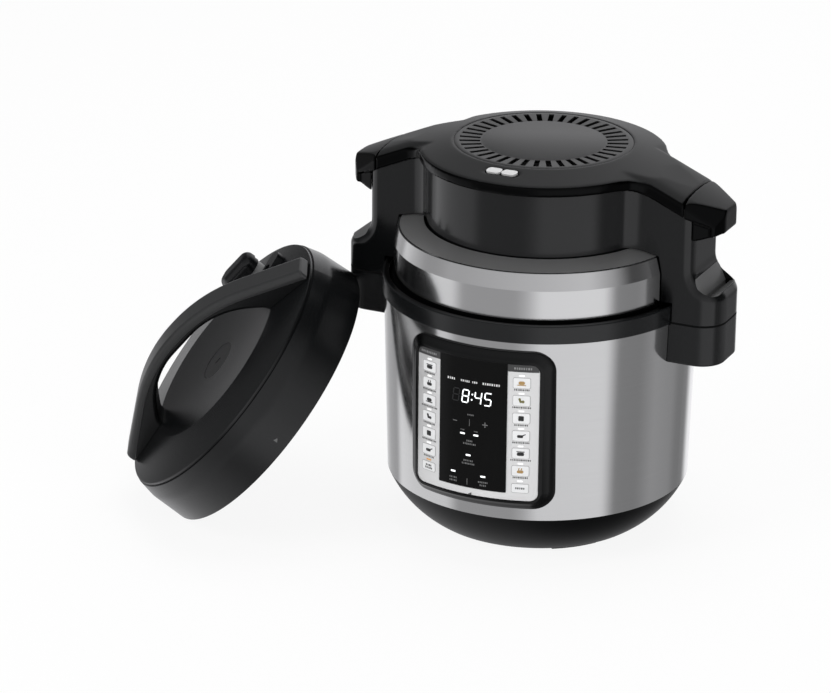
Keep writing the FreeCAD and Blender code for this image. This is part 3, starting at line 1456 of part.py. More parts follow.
def make_fryer_element():
    """Two-turn tubular heater hung under the pan by its two terminals."""
    body = new_body("fryer_element")
    for name, radius in (("outer", d.heater_outer_rad), ("inner", d.heater_inner_rad)):
        sketch = new_sketch(body, "YZ_Plane", name)
        ring(sketch, d.heater_tube_rad, radius, d.heater_z)
        turn = body.newObject("PartDesign::Revolution", f"{name}_turn")
        turn.Profile = sketch
        turn.ReferenceAxis = (sketch, ["V_Axis"])
        turn.Midplane = True
        bind(turn, "Angle", 330)
        body.AllowCompound = True
        finish_feature(body, turn, True)
    link = new_sketch(body, "YZ_Plane", "link")
    tube = d.heater_tube_rad
    outline(link, box_corners(
        d.heater_inner_rad, d.heater_outer_rad, d.heater_z - tube / 2, d.heater_z + tube / 2))
    pad(body, link, tube, both=True)
    posts = new_sketch(body, "XY_Plane", "terminals", d.heater_z)
    for radius in (d.heater_outer_rad, d.heater_inner_rad):
        ring(posts, tube - 0.8, 0, radius)
    pad(body, posts, d.pan_top_z - d.heater_z - d.fit_gap)
    turn_node(body, 90)


def make_fan_guard():
    """Slotted steel guard under the heater."""
    body = new_body("fan_guard")
    plate = new_sketch(body, "XY_Plane", "plate", d.ring_low_z)
    ring(plate, d.pan_rad - d.fit_gap)
    pad(body, plate, d.ring_thick)
    for name, inner, outer, width, count in (
            ("inner", 14, 40, 5, 12), ("middle", 48, 74, 6, 24), ("outer", 82, 104, 6, 36)):
        slot = new_sketch(body, "XY_Plane", f"{name}_slot", d.ring_low_z + d.ring_thick)
        outline(slot, box_corners(inner, outer, -width / 2, width / 2, width / 2 - 0.1))
        cut = pocket(body, slot)
        repeat(body, [cut], count)


def make_fans():
    """Motor, its shaft, the hot-air fan below the pan and the cooling fan under the grille."""
    floor_z = d.drum_low_z + d.drum_floor
    motor_top = floor_z + d.motor_height
    bore = d.shaft_rad + d.slip_gap
    turned("fan_motor", [
        (bore, floor_z - d.drum_floor + 0.5), (d.motor_seat_rad - 0.5, floor_z - d.drum_floor + 0.5),
        (d.motor_seat_rad - 0.5, floor_z), (d.motor_rad + 9, floor_z), (d.motor_rad + 9, floor_z + 2),
        (d.motor_rad, floor_z + 2), (d.motor_rad, motor_top, 4), (bore + 6, motor_top),
        (bore + 6, motor_top + 3), (bore, motor_top + 3)])
    shaft_low = d.fan_z - 4
    fan_top = motor_top + 6 + d.fan_height
    shaft = new_body("fan_shaft")
    rod = new_sketch(shaft, "XY_Plane", "rod", shaft_low)
    ring(rod, d.shaft_rad)
    pad(shaft, rod, fan_top + 2 - shaft_low)
    for name, low, radius, count, lean in (
            ("convection_fan", d.fan_z, d.fan_rad, 8, 9),
            ("cooling_fan", motor_top + 6, d.cooling_fan_rad, 12, -7)):
        fan = new_body(name)
        hub = new_sketch(fan, "XY_Plane", "hub", low)
        ring(hub, 12)
        ring(hub, d.shaft_rad)
        pad(fan, hub, d.fan_height)
        plate = new_sketch(fan, "XY_Plane", "plate", low + d.fan_height - 1.5)
        ring(plate, radius - 6)
        ring(plate, 11)
        pad(fan, plate, 1.5)
        blade = new_sketch(fan, "XY_Plane", "blade", low)
        outline(blade, [
            (11, -0.8), (radius * 0.6, lean / 2 - 0.8), (radius, lean - 0.8), (radius, lean + 0.8),
            (radius * 0.6, lean / 2 + 0.8), (11, 0.8)])
        blade_pad = pad(fan, blade, d.fan_height)
        repeat(fan, [blade_pad], count)


def make_contacts():
    """Three contact pins under the right column that plug into the base."""
    body = new_body("lid_contacts")
    body.AllowCompound = True
    pins = new_sketch(body, "XY_Plane", "pins", d.seam_z)
    for x, y in pin_places():
        ring(pins, d.pin_rad, x, y)
    pad(body, pins, d.pin_length, back=True)


# ---------------------------------------------------------------------------
# Pressure lid, modelled in its own frame and then leaned against the left handle
# ---------------------------------------------------------------------------
def lean_placement():
    """Stand the lid's rim on the floor and lean it on the left handle's rounded corner."""
    heading, tilt = math.radians(d.lean_turn.value), math.radians(d.lean_tilt.value)
    touch = math.radians(d.lean_touch.value)
    away = Vector(math.cos(heading), math.sin(heading), 0)
    normal = away * math.sin(tilt) + Vector(0, 0, math.cos(tilt))
    uphill = away * -math.cos(tilt) + Vector(0, 0, math.sin(tilt))
    level = uphill.cross(normal)
    out = Vector(math.cos(touch), math.sin(touch), 0)
    inward = (out - normal * out.dot(normal)).normalize()
    corner = d.handle_corner.value
    centre = Vector(corner - d.handle_reach.value, corner - d.handle_half.value, 0)
    centre = centre + out * (corner + d.lean_gap.value) + inward * d.skirt_rad.value
    centre.z = d.skirt_rad.value * math.sin(tilt)
    turn = math.radians(d.grip_turn.value)
    grip_x = uphill * math.cos(turn) + level * math.sin(turn)
    grip_y = normal.cross(grip_x)
    matrix = FreeCAD.Matrix(
        grip_x.x, grip_y.x, normal.x, centre.x,
        grip_x.y, grip_y.y, normal.y, centre.y,
        grip_x.z, grip_y.z, normal.z, centre.z,
        0, 0, 0, 1)
    return FreeCAD.Placement(matrix)


def lid_surface(extra=0):
    """Outer surface of the pressure lid's top from the middle out: dish, its edge and shoulder."""
    rise = d.dome_top_z - d.dome_foot_z
    bow = (d.dome_rad * d.dome_rad + rise * rise) / (2 * rise)
    return [
        (0, d.dome_top_z + extra, None, bow),
        (d.dome_rad, d.dome_foot_z + extra),
        (d.shoulder_rad, d.shoulder_z + extra),
    ]


def lean(body, about=None):
    """Put a finished piece of the pressure lid where the lid leans."""
    base = lean_placement()
    if about is not None:
        base = base.multiply(FreeCAD.Placement(
            Vector(0, 0, 0), FreeCAD.Rotation(Vector(0, 0, 1), about.value)))
    body.Placement = base


def make_pressure_lid_shell():
    """Outer shell of the pressure lid: two-band skirt, conical top and a low dome."""
    body = new_body("pressure_lid_shell")
    wall = d.lid_wall
    sketch = new_sketch(body, "XZ_Plane", "profile")
    dome, foot, shoulder = lid_surface()
    rise = d.dome_top_z - d.dome_foot_z
    outline(sketch, [
        (d.skirt_rad - wall, 0, 1.2),
        (d.skirt_rad, 0, 1.2),
        (d.skirt_rad - 1.4, d.skirt_line_z, 30),
        (d.shoulder_rad + 1.4, d.shoulder_z - 3.6),
        (d.shoulder_rad - 0.6, d.shoulder_z - 3.2),
        (d.shoulder_rad - 0.6, d.shoulder_z - 2.4),
        (d.shoulder_rad, d.shoulder_z - 2),
        (d.shoulder_rad, d.shoulder_z, 1),
        (foot[0], foot[1], None, dome[3]),
        (0, d.dome_top_z),
        (0, d.dome_top_z - wall, None, -dome[3]),
        (d.dome_rad - 1, d.dome_foot_z - wall),
        (d.shoulder_rad - wall, d.shoulder_z - wall - 0.4),
        (d.skirt_rad - 1.4 - wall, d.rib_z + wall),
        (d.bayonet_rad - 2, d.rib_z + wall),
        (d.bayonet_rad - 2, d.rib_z),
        (d.skirt_rad - 1.2 - wall, d.rib_z),
    ])
    revolve(body, sketch)
    recess = new_sketch(body, "XY_Plane", "cap_seat", d.dome_top_z + 2)
    ring(recess, d.cap_rad + d.fit_gap)
    pocket(body, recess, d.cap_sink + 2)
    for name, radius, turn, reach in (
            ("pipe", d.valve_pipe_rad, d.valve_turn, d.valve_reach),
            ("float", d.float_rad, d.float_turn, d.float_reach)):
        hole = new_sketch(body, "XY_Plane", f"{name}_hole", d.dome_foot_z)
        angle = math.radians(turn.value)
        ring(hole, radius + d.slip_gap, reach * math.cos(angle), reach * math.sin(angle))
        pocket(body, hole, d.dome_foot_z - d.rib_z - wall)
    lean(body)


def make_centre_cap():
    """Flat disc let into the middle of the dome, with a small slot."""
    body = new_body("dome_cap")
    seat = d.dome_top_z - d.cap_sink
    disc = new_sketch(body, "XY_Plane", "disc", seat)
    ring(disc, d.cap_rad)
    pad(body, disc, d.cap_sink)
    slot = new_sketch(body, "XY_Plane", "slot", d.dome_top_z)
    outline(slot, box_corners(-4, 4, -0.9, 0.9, 0.8))
    pocket(body, slot, 1)
    lean(body)


def grip_line(drop=0):
    """Half of the handle's outline from the crest out to the tip."""
    return [
        (d.grip_crest_x, d.grip_top_z - drop, d.grip_bend - drop),
        (d.grip_span - drop / 4, d.grip_tip_z - drop),
    ]


def cover_height(x):
    """Height of the handle's outline over a place along it, taken as two straight runs."""
    fall = (d.grip_top_z - d.grip_tip_z).value / (d.grip_span - d.grip_crest_x).value
    return d.grip_top_z.value - max(0, abs(x) - d.grip_crest_x.value) * fall


def both_sides(half):
    """Outline points of the left half followed by the right half."""
    return [(-corner[0],) + corner[1:] for corner in reversed(half)] + half


def make_grip():
    """Arched handle across the pressure lid: lower part with the legs, and the cover over it."""
    base = new_body("grip_base")
    profile = new_sketch(base, "XZ_Plane", "profile")
    foot_z = d.shoulder_z - 3
    end = d.grip_span - d.grip_thick / 4
    outline(profile, [(-end, foot_z)] + both_sides(grip_line(d.grip_thick)) + [(end, foot_z)])
    pad(base, profile, 2 * d.grip_half - 1, both=True)
    opening = new_sketch(base, "XZ_Plane", "opening")
    leg, under_z = d.grip_leg_x, d.grip_top_z - d.grip_thick - d.grip_under
    outline(opening, [
        (-leg, foot_z - 5), (leg, foot_z - 5), (leg, d.dome_foot_z + 3, 13),
        (d.grip_under_x, under_z, 85), (-d.grip_under_x, under_z, 85), (-leg, d.dome_foot_z + 3, 13)])
    pocket(base, opening, 2 * d.grip_half + 20, both=True)
    seat = new_sketch(base, "XZ_Plane", "seat")
    dish, foot, shoulder = lid_surface(d.fit_gap)
    slope = (d.dome_foot_z - d.shoulder_z) / (d.shoulder_rad - d.dome_rad)
    outline(seat, [
        (0, 0), (d.shoulder_rad + 20, 0), (d.shoulder_rad + 20, shoulder[1] - slope * 20),
        (foot[0], foot[1], None, dish[3]), (0, dish[1])])
    revolve(base, seat, cut=True)
    soften(base, 4, lambda edge, mid: abs(abs(mid.y) - d.grip_half.value + 0.5) < 0.01
           and abs(mid.x) < leg.value - 1 and mid.z > d.dome_foot_z.value + 2
           and mid.z < d.grip_top_z.value - d.grip_thick.value - 1 - mid.x**2 / 400)
    lean(base)
    cover = new_body("grip_cover")
    shape = new_sketch(cover, "XZ_Plane", "profile")
    outer, inner = both_sides(grip_line()), both_sides(grip_line(d.grip_thick - d.fit_gap))
    tip_low = d.grip_tip_z - d.grip_thick
    outline(shape, outer + [(d.grip_span, tip_low + d.fit_gap)] + inner[::-1]
            + [(-d.grip_span, tip_low + d.fit_gap)])
    pad(cover, shape, 2 * d.grip_half, both=True)
    drop = (d.grip_thick * 0.78).value
    soften(cover, d.grip_round, lambda edge, mid: mid.z > cover_height(mid.x) - drop
           and not is_upright(edge) and abs(mid.y) > 1)
    soften(cover, 3, lambda edge, mid: mid.z > cover_height(mid.x) - drop and abs(mid.y) < 1)
    lean(cover)


def make_valve():
    """Steam valve: pipe and pedestal on the lid, and the knob that turns on them."""
    x = d.valve_reach
    slope = (d.dome_foot_z - d.shoulder_z) / (d.shoulder_rad - d.dome_rad)
    deck = d.shoulder_z + slope * (d.shoulder_rad - x)
    pipe = new_body("steam_pipe")
    rod = new_sketch(pipe, "XY_Plane", "rod", d.pan_ceiling_z + d.steel_wall)
    ring(rod, d.valve_pipe_rad, x, 0)
    ring(rod, d.valve_pipe_rad - 1.5, x, 0)
    pad(pipe, rod, deck + d.valve_height - 6 - d.pan_ceiling_z - d.steel_wall)
    lean(pipe, d.valve_turn)
    pedestal = new_body("valve_pedestal")
    seat = new_sketch(pedestal, "XY_Plane", "seat", deck + slope * d.valve_stem_rad + d.fit_gap)
    ring(seat, d.valve_stem_rad, x, 0)
    ring(seat, d.valve_pipe_rad + d.slip_gap, x, 0)
    pad(pedestal, seat, d.pedestal_tall)
    lean(pedestal, d.valve_turn)
    knob = new_body("steam_valve")
    low = deck + slope * d.valve_stem_rad + 2 * d.fit_gap + d.pedestal_tall
    lower = new_sketch(knob, "XY_Plane", "collar", low)
    ring(lower, d.valve_stem_rad + 1, x, 0)
    ring(lower, d.valve_pipe_rad + d.slip_gap, x, 0)
    pad(knob, lower, 5)
    plate = new_sketch(knob, "XY_Plane", "plate", low + 5)
    angle = math.radians(180 - d.valve_turn.value)
    along, across = math.cos(angle), math.sin(angle)
    wing, half = d.valve_wing, d.valve_half
    outline(plate, [
        (x + a * along - b * across, a * across + b * along, rounding) for a, b, rounding in (
            (-half, -(half - 1), 11), (wing - 12, -half, 12), (wing, 0, 9),
            (wing - 12, half, 12), (-half, half - 1, 11))])
    pad(knob, plate, d.knob_tall)
    well = new_sketch(knob, "XY_Plane", "well", low + 5)
    ring(well, d.valve_pipe_rad + d.slip_gap, x, 0)
    pocket(knob, well, deck + d.valve_height - 6 + 0.5 - low - 5, back=True)
    top_edge = (low + 5 + d.knob_tall).value
    soften(knob, d.knob_tall * 0.7, lambda edge, mid: abs(edge.BoundBox.ZMin - top_edge) < 0.01)
    lean(knob, d.valve_turn)


def make_float():
    """Float pin that rises with pressure, in a low guard beside the valve."""
    x = d.float_reach
    slope = (d.dome_foot_z - d.shoulder_z) / (d.shoulder_rad - d.dome_rad)
    deck = d.shoulder_z + slope * (d.shoulder_rad - x)
    guard = new_body("float_guard")
    plan = new_sketch(guard, "XY_Plane", "plan", deck - 3)
    outline(plan, box_corners(x - 9, x + 20, -9, 9, 7))
    ring(plan, d.float_rad + 1.5, x, 0)
    pad(guard, plan, 9)
    seat = new_sketch(guard, "XZ_Plane", "seat")
    outline(seat, [
        (0, deck - 20), (d.shoulder_rad, deck - 20), (d.shoulder_rad, d.shoulder_z + d.fit_gap),
        (d.dome_rad, d.dome_foot_z + d.fit_gap), (0, d.dome_foot_z + d.fit_gap)])
    revolve(guard, seat, cut=True)
    lean(guard, d.float_turn)
    pin = new_body("float_valve")
    rod = new_sketch(pin, "XY_Plane", "rod", d.pan_ceiling_z - 4)
    ring(rod, d.float_rad, x, 0)
    pad(pin, rod, deck + 2 - d.pan_ceiling_z + 4)
    head = new_sketch(pin, "XY_Plane", "head", d.pan_ceiling_z - 6)
    ring(head, d.float_rad + 1.5, x, 0)
    pad(pin, head, 2)
    lean(pin, d.float_turn)


def make_inner_lid():
    """Steel inner lid with locking lugs, its sealing ring, wire rack, filter and centre bolt."""
    wall, ceiling = d.steel_wall, d.pan_ceiling_z
    outer = d.bayonet_rad - 3
    body = turned("steel_inner_lid", [
        (0, ceiling), (d.inner_top_rad, ceiling, 3), (outer - wall, ceiling - 8, 3),
        (outer - wall, d.lug_low_z), (outer, d.lug_low_z), (outer, ceiling - 8 + 1, 4),
        (d.inner_top_rad, ceiling + wall, 4), (0, ceiling + wall)])
    lug = new_sketch(body, "YZ_Plane", "lug")
    outline(lug, box_corners(outer - 0.5, d.bayonet_rad, d.lug_low_z, d.lug_low_z + 2))
    block = body.newObject("PartDesign::Revolution", "lid_lug_turned")
    block.Profile = lug
    block.ReferenceAxis = (lug, ["V_Axis"])
    block.Midplane = True
    bind(block, "Angle", 17)
    finish_feature(body, block, True)
    repeat(body, [block], 8)
    for name, radius, turn, reach in (
            ("pipe", d.valve_pipe_rad - 1.5, d.valve_turn, d.valve_reach),
            ("float", d.float_rad + d.slip_gap, d.float_turn, d.float_reach)):
        hole = new_sketch(body, "XY_Plane", f"{name}_hole", ceiling + wall)
        angle = math.radians(turn.value)
        ring(hole, radius, reach * math.cos(angle), reach * math.sin(angle))
        pocket(body, hole, wall + 0.5)
    lean(body)
    seal_top = ceiling - 12
    inside = outer - wall - d.fit_gap
    body = turned("sealing_ring", [
        (inside - 9, seal_top - 10, 2), (inside, seal_top - 10, 2), (inside, seal_top, 2),
        (inside - 5, seal_top, 2), (inside - 5, seal_top - 4), (inside - 9, seal_top - 4, 1.5)])
    lean(body)
    body = new_body("seal_rack")
    wire = new_sketch(body, "XZ_Plane", "wire")
    ring(wire, 1.5, inside - 9 - 1.5 - d.fit_gap, seal_top - 7)
    revolve(body, wire)
    lean(body)
    body = new_body("steam_filter")
    cup = new_sketch(body, "XY_Plane", "cup", ceiling - d.fit_gap)
    ring(cup, 9, d.valve_reach - 6, 0)
    pad(body, cup, 9, back=True)
    inside_cup = new_sketch(body, "XY_Plane", "inside", ceiling - d.fit_gap)
    ring(inside_cup, 8, d.valve_reach - 6, 0)
    pocket(body, inside_cup, 8)
    vents = new_sketch(body, "XZ_Plane", "vents")
    for step in (-4, 0, 4):
        outline(vents, box_corners(
            d.valve_reach - 6 + step - 1, d.valve_reach - 6 + step + 1, ceiling - 7, ceiling - 3))
    pocket(body, vents, 40, both=True)
    lean(body, d.valve_turn)
    bolt = new_body("centre_bolt")
    post = new_sketch(bolt, "XY_Plane", "post", ceiling + wall)
    ring(post, 6)
    pad(bolt, post, d.dome_top_z - d.lid_wall - 0.8 - ceiling - wall)
    lean(bolt)


# ---------------------------------------------------------------------------
# Build, check and write
# ---------------------------------------------------------------------------
make_base_housing()
make_bottom_cover()
make_bottom_screws()
make_feet()
make_body_shell()
make_top_collar()
make_well()
make_heating_plate()
make_inner_pot()
make_sensor()
for side in (1, -1):
    make_handle(side)
make_lid_socket()
make_panel()
make_power_inlet()
make_power_board()
make_condensation_cup()
make_top_cover()
make_indicator()
make_side_housing()
for side in (1, -1):
    make_scoop(side)
    make_nose_cap(side)
make_vent_grille()
make_lid_ring()
make_heat_pan()
make_fryer_element()
make_fan_guard()
make_fans()
make_contacts()
make_pressure_lid_shell()
make_centre_cap()
make_grip()
make_valve()
make_float()
make_inner_lid()

doc.recompute()
for item in doc.Objects:
    if "Invalid" in item.State or "Error" in item.State:
        raise ValueError(f"{item.Name} failed: {item.State}")
os.makedirs("parts", exist_ok=True)
for node in NODES:
    shape = node.Shape
    if shape.isNull() or not shape.isValid() or not shape.Solids:
        raise ValueError(f"{node.Label} has no valid solid")
    shape.exportStep(f"parts/{node.Label}.step")
    print(f"{node.Label:24s} solids {len(shape.Solids)}  volume {shape.Volume / 1000:9.2f} cm3")
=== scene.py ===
"""Electric pressure cooker with an air-frying lid on it and its pressure lid leaning beside it."""

import math

import bmesh
import bpy
from mathutils import Matrix, Vector


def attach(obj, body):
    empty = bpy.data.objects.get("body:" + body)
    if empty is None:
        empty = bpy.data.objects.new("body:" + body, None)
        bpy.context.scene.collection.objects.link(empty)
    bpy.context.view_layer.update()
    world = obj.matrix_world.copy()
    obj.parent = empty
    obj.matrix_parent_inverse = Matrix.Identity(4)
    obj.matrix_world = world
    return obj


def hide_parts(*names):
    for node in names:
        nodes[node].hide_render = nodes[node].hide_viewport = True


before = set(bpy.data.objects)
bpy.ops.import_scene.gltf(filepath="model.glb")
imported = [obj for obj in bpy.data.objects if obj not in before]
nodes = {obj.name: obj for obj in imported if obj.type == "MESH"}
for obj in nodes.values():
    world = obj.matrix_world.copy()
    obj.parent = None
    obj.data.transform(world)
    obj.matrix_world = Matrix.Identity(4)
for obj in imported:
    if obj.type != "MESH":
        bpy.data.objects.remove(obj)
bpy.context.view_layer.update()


# Steel body and steel lid ring. Both are stainless sheet brushed round the cooker, so the fine
# lines run level and the reflections stretch into upright bands.
LINES_ALONG = 3.0
STEEL_CLOUDS = 9.0
RING_SLOPE_RAD = 0.1397
SLOPE_ROUGHER = 0.2
SLOPE_DULLER = -0.12
# A Mix node's inputs for its amount and its two colours, and its output for a colour.
MIX_INPUTS = (0, 6, 7)
MIX_OUTPUT = 2
# A group's output, and the shader's input that it feeds where a group has it.
SURFACE_SOCKETS = (("Colour", "Base Color"), ("Roughness", "Roughness"), ("Side", "Metallic"))


def new_group(name, inputs, more=()):
    """Make a shader group whose inputs start at the values given, where a tuple is a colour.

    It puts out a colour, a roughness and a bump height, and any more values that are named.
    """
    group = bpy.data.node_groups.new(name, "ShaderNodeTree")
    for label, value in inputs.items():
        kind = "NodeSocketColor" if isinstance(value, tuple) else "NodeSocketFloat"
        group.interface.new_socket(label, in_out="INPUT", socket_type=kind).default_value = value
    for label in ("Colour", "Roughness", "Height", *more):
        kind = "NodeSocketColor" if label == "Colour" else "NodeSocketFloat"
        group.interface.new_socket(label, in_out="OUTPUT", socket_type=kind)
    given = group.nodes.new("NodeGroupInput")
    result = group.nodes.new("NodeGroupOutput")
    return group, given.outputs, result.inputs


def wire(tree, item, slot):
    """Link a socket to an input, or give the input a value of its own."""
    if isinstance(item, bpy.types.NodeSocket):
        tree.links.new(item, slot)
    else:
        slot.default_value = item


def math_node(tree, operation, *items):
    """Add a Math node whose inputs are sockets or numbers, and give back its output."""
    node = tree.nodes.new("ShaderNodeMath")
    node.operation = operation
    for item, slot in zip(items, node.inputs):
        wire(tree, item, slot)
    return node.outputs[0]


def object_place(tree):
    """Object coordinates as one socket, and then as x, y and z."""
    place = tree.nodes.new("ShaderNodeTexCoord").outputs["Object"]
    split = tree.nodes.new("ShaderNodeSeparateXYZ")
    tree.links.new(place, split.inputs[0])
    return place, *split.outputs


def radius_node(tree, x, y):
    """Distance from the upright axis."""
    squares = [math_node(tree, "MULTIPLY", side, side) for side in (x, y)]
    return math_node(tree, "SQRT", math_node(tree, "ADD", *squares))


def noise_node(tree, vector, scale, detail):
    """Add a noise texture on a vector socket, and give back its value."""
    node = tree.nodes.new("ShaderNodeTexNoise")
    node.inputs["Detail"].default_value = detail
    wire(tree, vector, node.inputs["Vector"])
    wire(tree, scale, node.inputs["Scale"])
    return node.outputs["Fac"]


def blend_colours(tree, amount, dark, light, way="MIX"):
    """Blend two colour sockets by a value."""
    mix = tree.nodes.new("ShaderNodeMix")
    mix.data_type = "RGBA"
    mix.blend_type = way
    for item, number in zip((amount, dark, light), MIX_INPUTS):
        wire(tree, item, mix.inputs[number])
    return mix.outputs[MIX_OUTPUT]


def make_brushing():
    """Fine lines round the upright axis: a noise stretched along the turn and crowded across it."""
    group, given, result = new_group("brushed_round", {
        "Colour": (0.6, 0.6, 0.6, 1), "Streak Colour": (0.5, 0.5, 0.5, 1), "Lines": 2200.0,
        "Roughness": 0.25, "Variation": 0.1})
    place, x, y, z = object_place(group)
    angle = math_node(group, "ARCTAN2", y, x)
    radius = radius_node(group, x, y)
    stretched = group.nodes.new("ShaderNodeCombineXYZ")
    crowding = (LINES_ALONG, given["Lines"], given["Lines"])
    for item, crowded, slot in zip((angle, z, radius), crowding, stretched.inputs):
        group.links.new(math_node(group, "MULTIPLY", item, crowded), slot)
    lines = noise_node(group, stretched.outputs[0], 1.0, detail=4.0)
    cloud = noise_node(group, place, STEEL_CLOUDS, detail=2.0)
    group.links.new(blend_colours(group, lines, given["Streak Colour"], given["Colour"]),
                    result["Colour"])
    spread = math_node(group, "SUBTRACT", math_node(group, "ADD", lines, cloud), 1.0)
    rough = math_node(group, "MULTIPLY_ADD", spread, given["Variation"], given["Roughness"])
    group.links.new(rough, result["Roughness"])
    group.links.new(lines, result["Height"])
    return group


brushing = make_brushing()


def shader_inputs(material):
    """Inputs of a material's own shader."""
    return material.node_tree.nodes["Principled BSDF"].inputs


def plain_material(name, metallic=0.0, coat=0.0, specular=0.5):
    """Start a material with the values that are the same all over it, ready for a group to feed."""
    material = bpy.data.materials.new(name)
    material.use_nodes = True
    for label, value in (("Metallic", metallic), ("Coat Weight", coat), ("Coat Roughness", 0.08),
                         ("Specular IOR Level", specular)):
        shader_inputs(material)[label].default_value = value
    return material


def feed(material, group, values, bump=0.0, depth=0.0001):
    """Place a group in a material with its own values and wire it to the shader."""
    tree = material.node_tree
    node = tree.nodes.new("ShaderNodeGroup")
    node.node_tree = group
    for label, value in values.items():
        node.inputs[label].default_value = value
    for label, socket in SURFACE_SOCKETS:
        if label in node.outputs:
            tree.links.new(node.outputs[label], shader_inputs(material)[socket])
    if bump:
        relief = tree.nodes.new("ShaderNodeBump")
        relief.inputs["Strength"].default_value = bump
        relief.inputs["Distance"].default_value = depth
        tree.links.new(node.outputs["Height"], relief.inputs["Height"])
        tree.links.new(relief.outputs["Normal"], shader_inputs(material)["Normal"])
    return material


def grey(level, tint=0.0):
    """A near-neutral colour, cooler when the tint is above zero."""
    return (level * (1 - tint), level, level * (1 + tint), 1)


def brushed(name, level, streaks, lines, roughness, variation, bump):
    """A brushed steel of one grey with streaks of another."""
    return feed(plain_material(name, metallic=1.0), brushing, {
        "Colour": grey(level), "Streak Colour": grey(streaks), "Lines": lines,
        "Roughness": roughness, "Variation": variation}, bump=bump)


def dull_inner_slope(material):
    """Make the ring's inner slope duller and rougher than its wall, as the press leaves it."""
    tree, inputs = material.node_tree, shader_inputs(material)
    _, x, y, _ = object_place(tree)
    slope = math_node(tree, "LESS_THAN", radius_node(tree, x, y), RING_SLOPE_RAD)
    rough = inputs["Roughness"].links[0].from_socket
    rough = math_node(tree, "MULTIPLY_ADD", slope, SLOPE_ROUGHER, rough)
    tree.links.new(rough, inputs["Roughness"])
    metallic = math_node(tree, "MULTIPLY_ADD", slope, SLOPE_DULLER, 1.0)
    tree.links.new(metallic, inputs["Metallic"])


def dress(material, *names):
    """Give CAD nodes a material."""
    for name in names:
        nodes[name].material_slots[0].material = material


body_steel = brushed("body_steel", level=0.68, streaks=0.6, lines=2600.0, roughness=0.13,
                     variation=0.05, bump=0.06)
ring_steel = brushed("ring_steel", level=0.7, streaks=0.66, lines=3200.0, roughness=0.15,
                     variation=0.03, bump=0.02)
dull_inner_slope(ring_steel)
dress(body_steel, "body_shell")
dress(ring_steel, "lid_steel_ring")


# Black mouldings of the base: bowl, collar, carrying handles and the parts fixed to them. They are
# spark-textured polypropylene with a dull, even sheen.
PATCH_SCALE = 14.0
PATCH_PALER = 1.12
PEBBLE_DEPTH = 0.00005
MOST_TINT, TINT_OF_BLACK = 0.1, 0.0005
# Painted shade: a dark, dull line at this height, where the lid's columns stand on the base's
# handles.
SEAM_Z, SEAM_HALF = 0.2374, 0.0011
SEAM_SHADE_COLOUR = (0.0002, 0.0002, 0.0002, 1)
TROUGH_RAD, TROUGH_LOW_Z = 0.1545, 0.2410


def make_moulding():
    """Even colour with a fine pebble and faint patches, as a textured mould leaves."""
    group, given, result = new_group("moulded_plastic", {
        "Colour": (0.02, 0.02, 0.02, 1), "Patch Colour": (0.025, 0.025, 0.025, 1), "Pebble": 1500.0,
        "Roughness": 0.4, "Variation": 0.08})
    place = object_place(group)[0]
    pebble = noise_node(group, place, given["Pebble"], detail=2.0)
    patch = noise_node(group, place, PATCH_SCALE, detail=3.0)
    group.links.new(blend_colours(group, patch, given["Colour"], given["Patch Colour"]),
                    result["Colour"])
    spread = math_node(group, "SUBTRACT", math_node(group, "ADD", pebble, patch), 1.0)
    rough = math_node(group, "MULTIPLY_ADD", spread, given["Variation"], given["Roughness"])
    group.links.new(rough, result["Roughness"])
    group.links.new(pebble, result["Height"])
    return group


moulding = make_moulding()


def plastic(name, level, roughness, pebble=1500.0, bump=0.1, tint=None, variation=0.06,
            specular=0.5):
    """A moulded plastic of one grey, cooler where it is dark, with its own sheen and pebble."""
    if tint is None:
        tint = min(MOST_TINT, TINT_OF_BLACK / level)
    return feed(plain_material(name, specular=specular), moulding, {
        "Colour": grey(level, tint), "Patch Colour": grey(level * PATCH_PALER, tint),
        "Pebble": pebble, "Roughness": roughness, "Variation": variation},
        bump=bump, depth=PEBBLE_DEPTH)


def colour_node(tree, colour):
    """One colour as a socket."""
    node = tree.nodes.new("ShaderNodeRGB")
    node.outputs[0].default_value = colour
    return node.outputs[0]


def shade_seam(material):
    """Darken the thin line where the lid's columns stand on the base's handles, as painted shade in
    place of a groove's shadow.
    """
    tree, inputs = material.node_tree, shader_inputs(material)
    seam = math_node(tree, "COMPARE", object_place(tree)[3], SEAM_Z, SEAM_HALF)
    colour = inputs["Base Color"].links[0].from_socket
    tree.links.new(blend_colours(tree, seam, colour, colour_node(tree, SEAM_SHADE_COLOUR)),
                   inputs["Base Color"])
    rough = inputs["Roughness"].links[0].from_socket
    tree.links.new(math_node(tree, "MAXIMUM", rough, seam), inputs["Roughness"])


def shade_trough(material):
    """Make the collar's trough dead black, since next to no light gets in under the lid.

    Made metallic there, it reflects only its own near-black colour.
    """
    tree = material.node_tree
    _, x, y, z = object_place(tree)
    inside = math_node(tree, "MULTIPLY",
                       math_node(tree, "LESS_THAN", radius_node(tree, x, y), TROUGH_RAD),
                       math_node(tree, "GREATER_THAN", z, TROUGH_LOW_Z))
    tree.links.new(inside, shader_inputs(material)["Metallic"])


base_black = plastic("base_black", 0.0045, 0.26)
dress(base_black, "cup_holder", "lid_socket", "power_inlet")
bowl_black = plastic("bowl_black", 0.0025, 0.4, specular=0.1)
dress(bowl_black, "base_housing", "bottom_cover")
handle_black = plastic("handle_black", 0.0045, 0.24)
shade_seam(handle_black)
dress(handle_black, "right_base_handle", "left_base_handle")
collar_black = plastic("collar_black", 0.0055, 0.24)
shade_trough(collar_black)
dress(collar_black, "top_collar")
rubber = plastic("rubber", 0.012, 0.75, pebble=700.0, bump=0.2)
dress(rubber, "rubber_feet")
screw_steel = brushed("screw_steel", level=0.5, streaks=0.4, lines=900.0, roughness=0.32,
                      variation=0.1, bump=0.05)
dress(screw_steel, "bottom_screws", "sensor_spring", "fan_shaft", "centre_bolt")


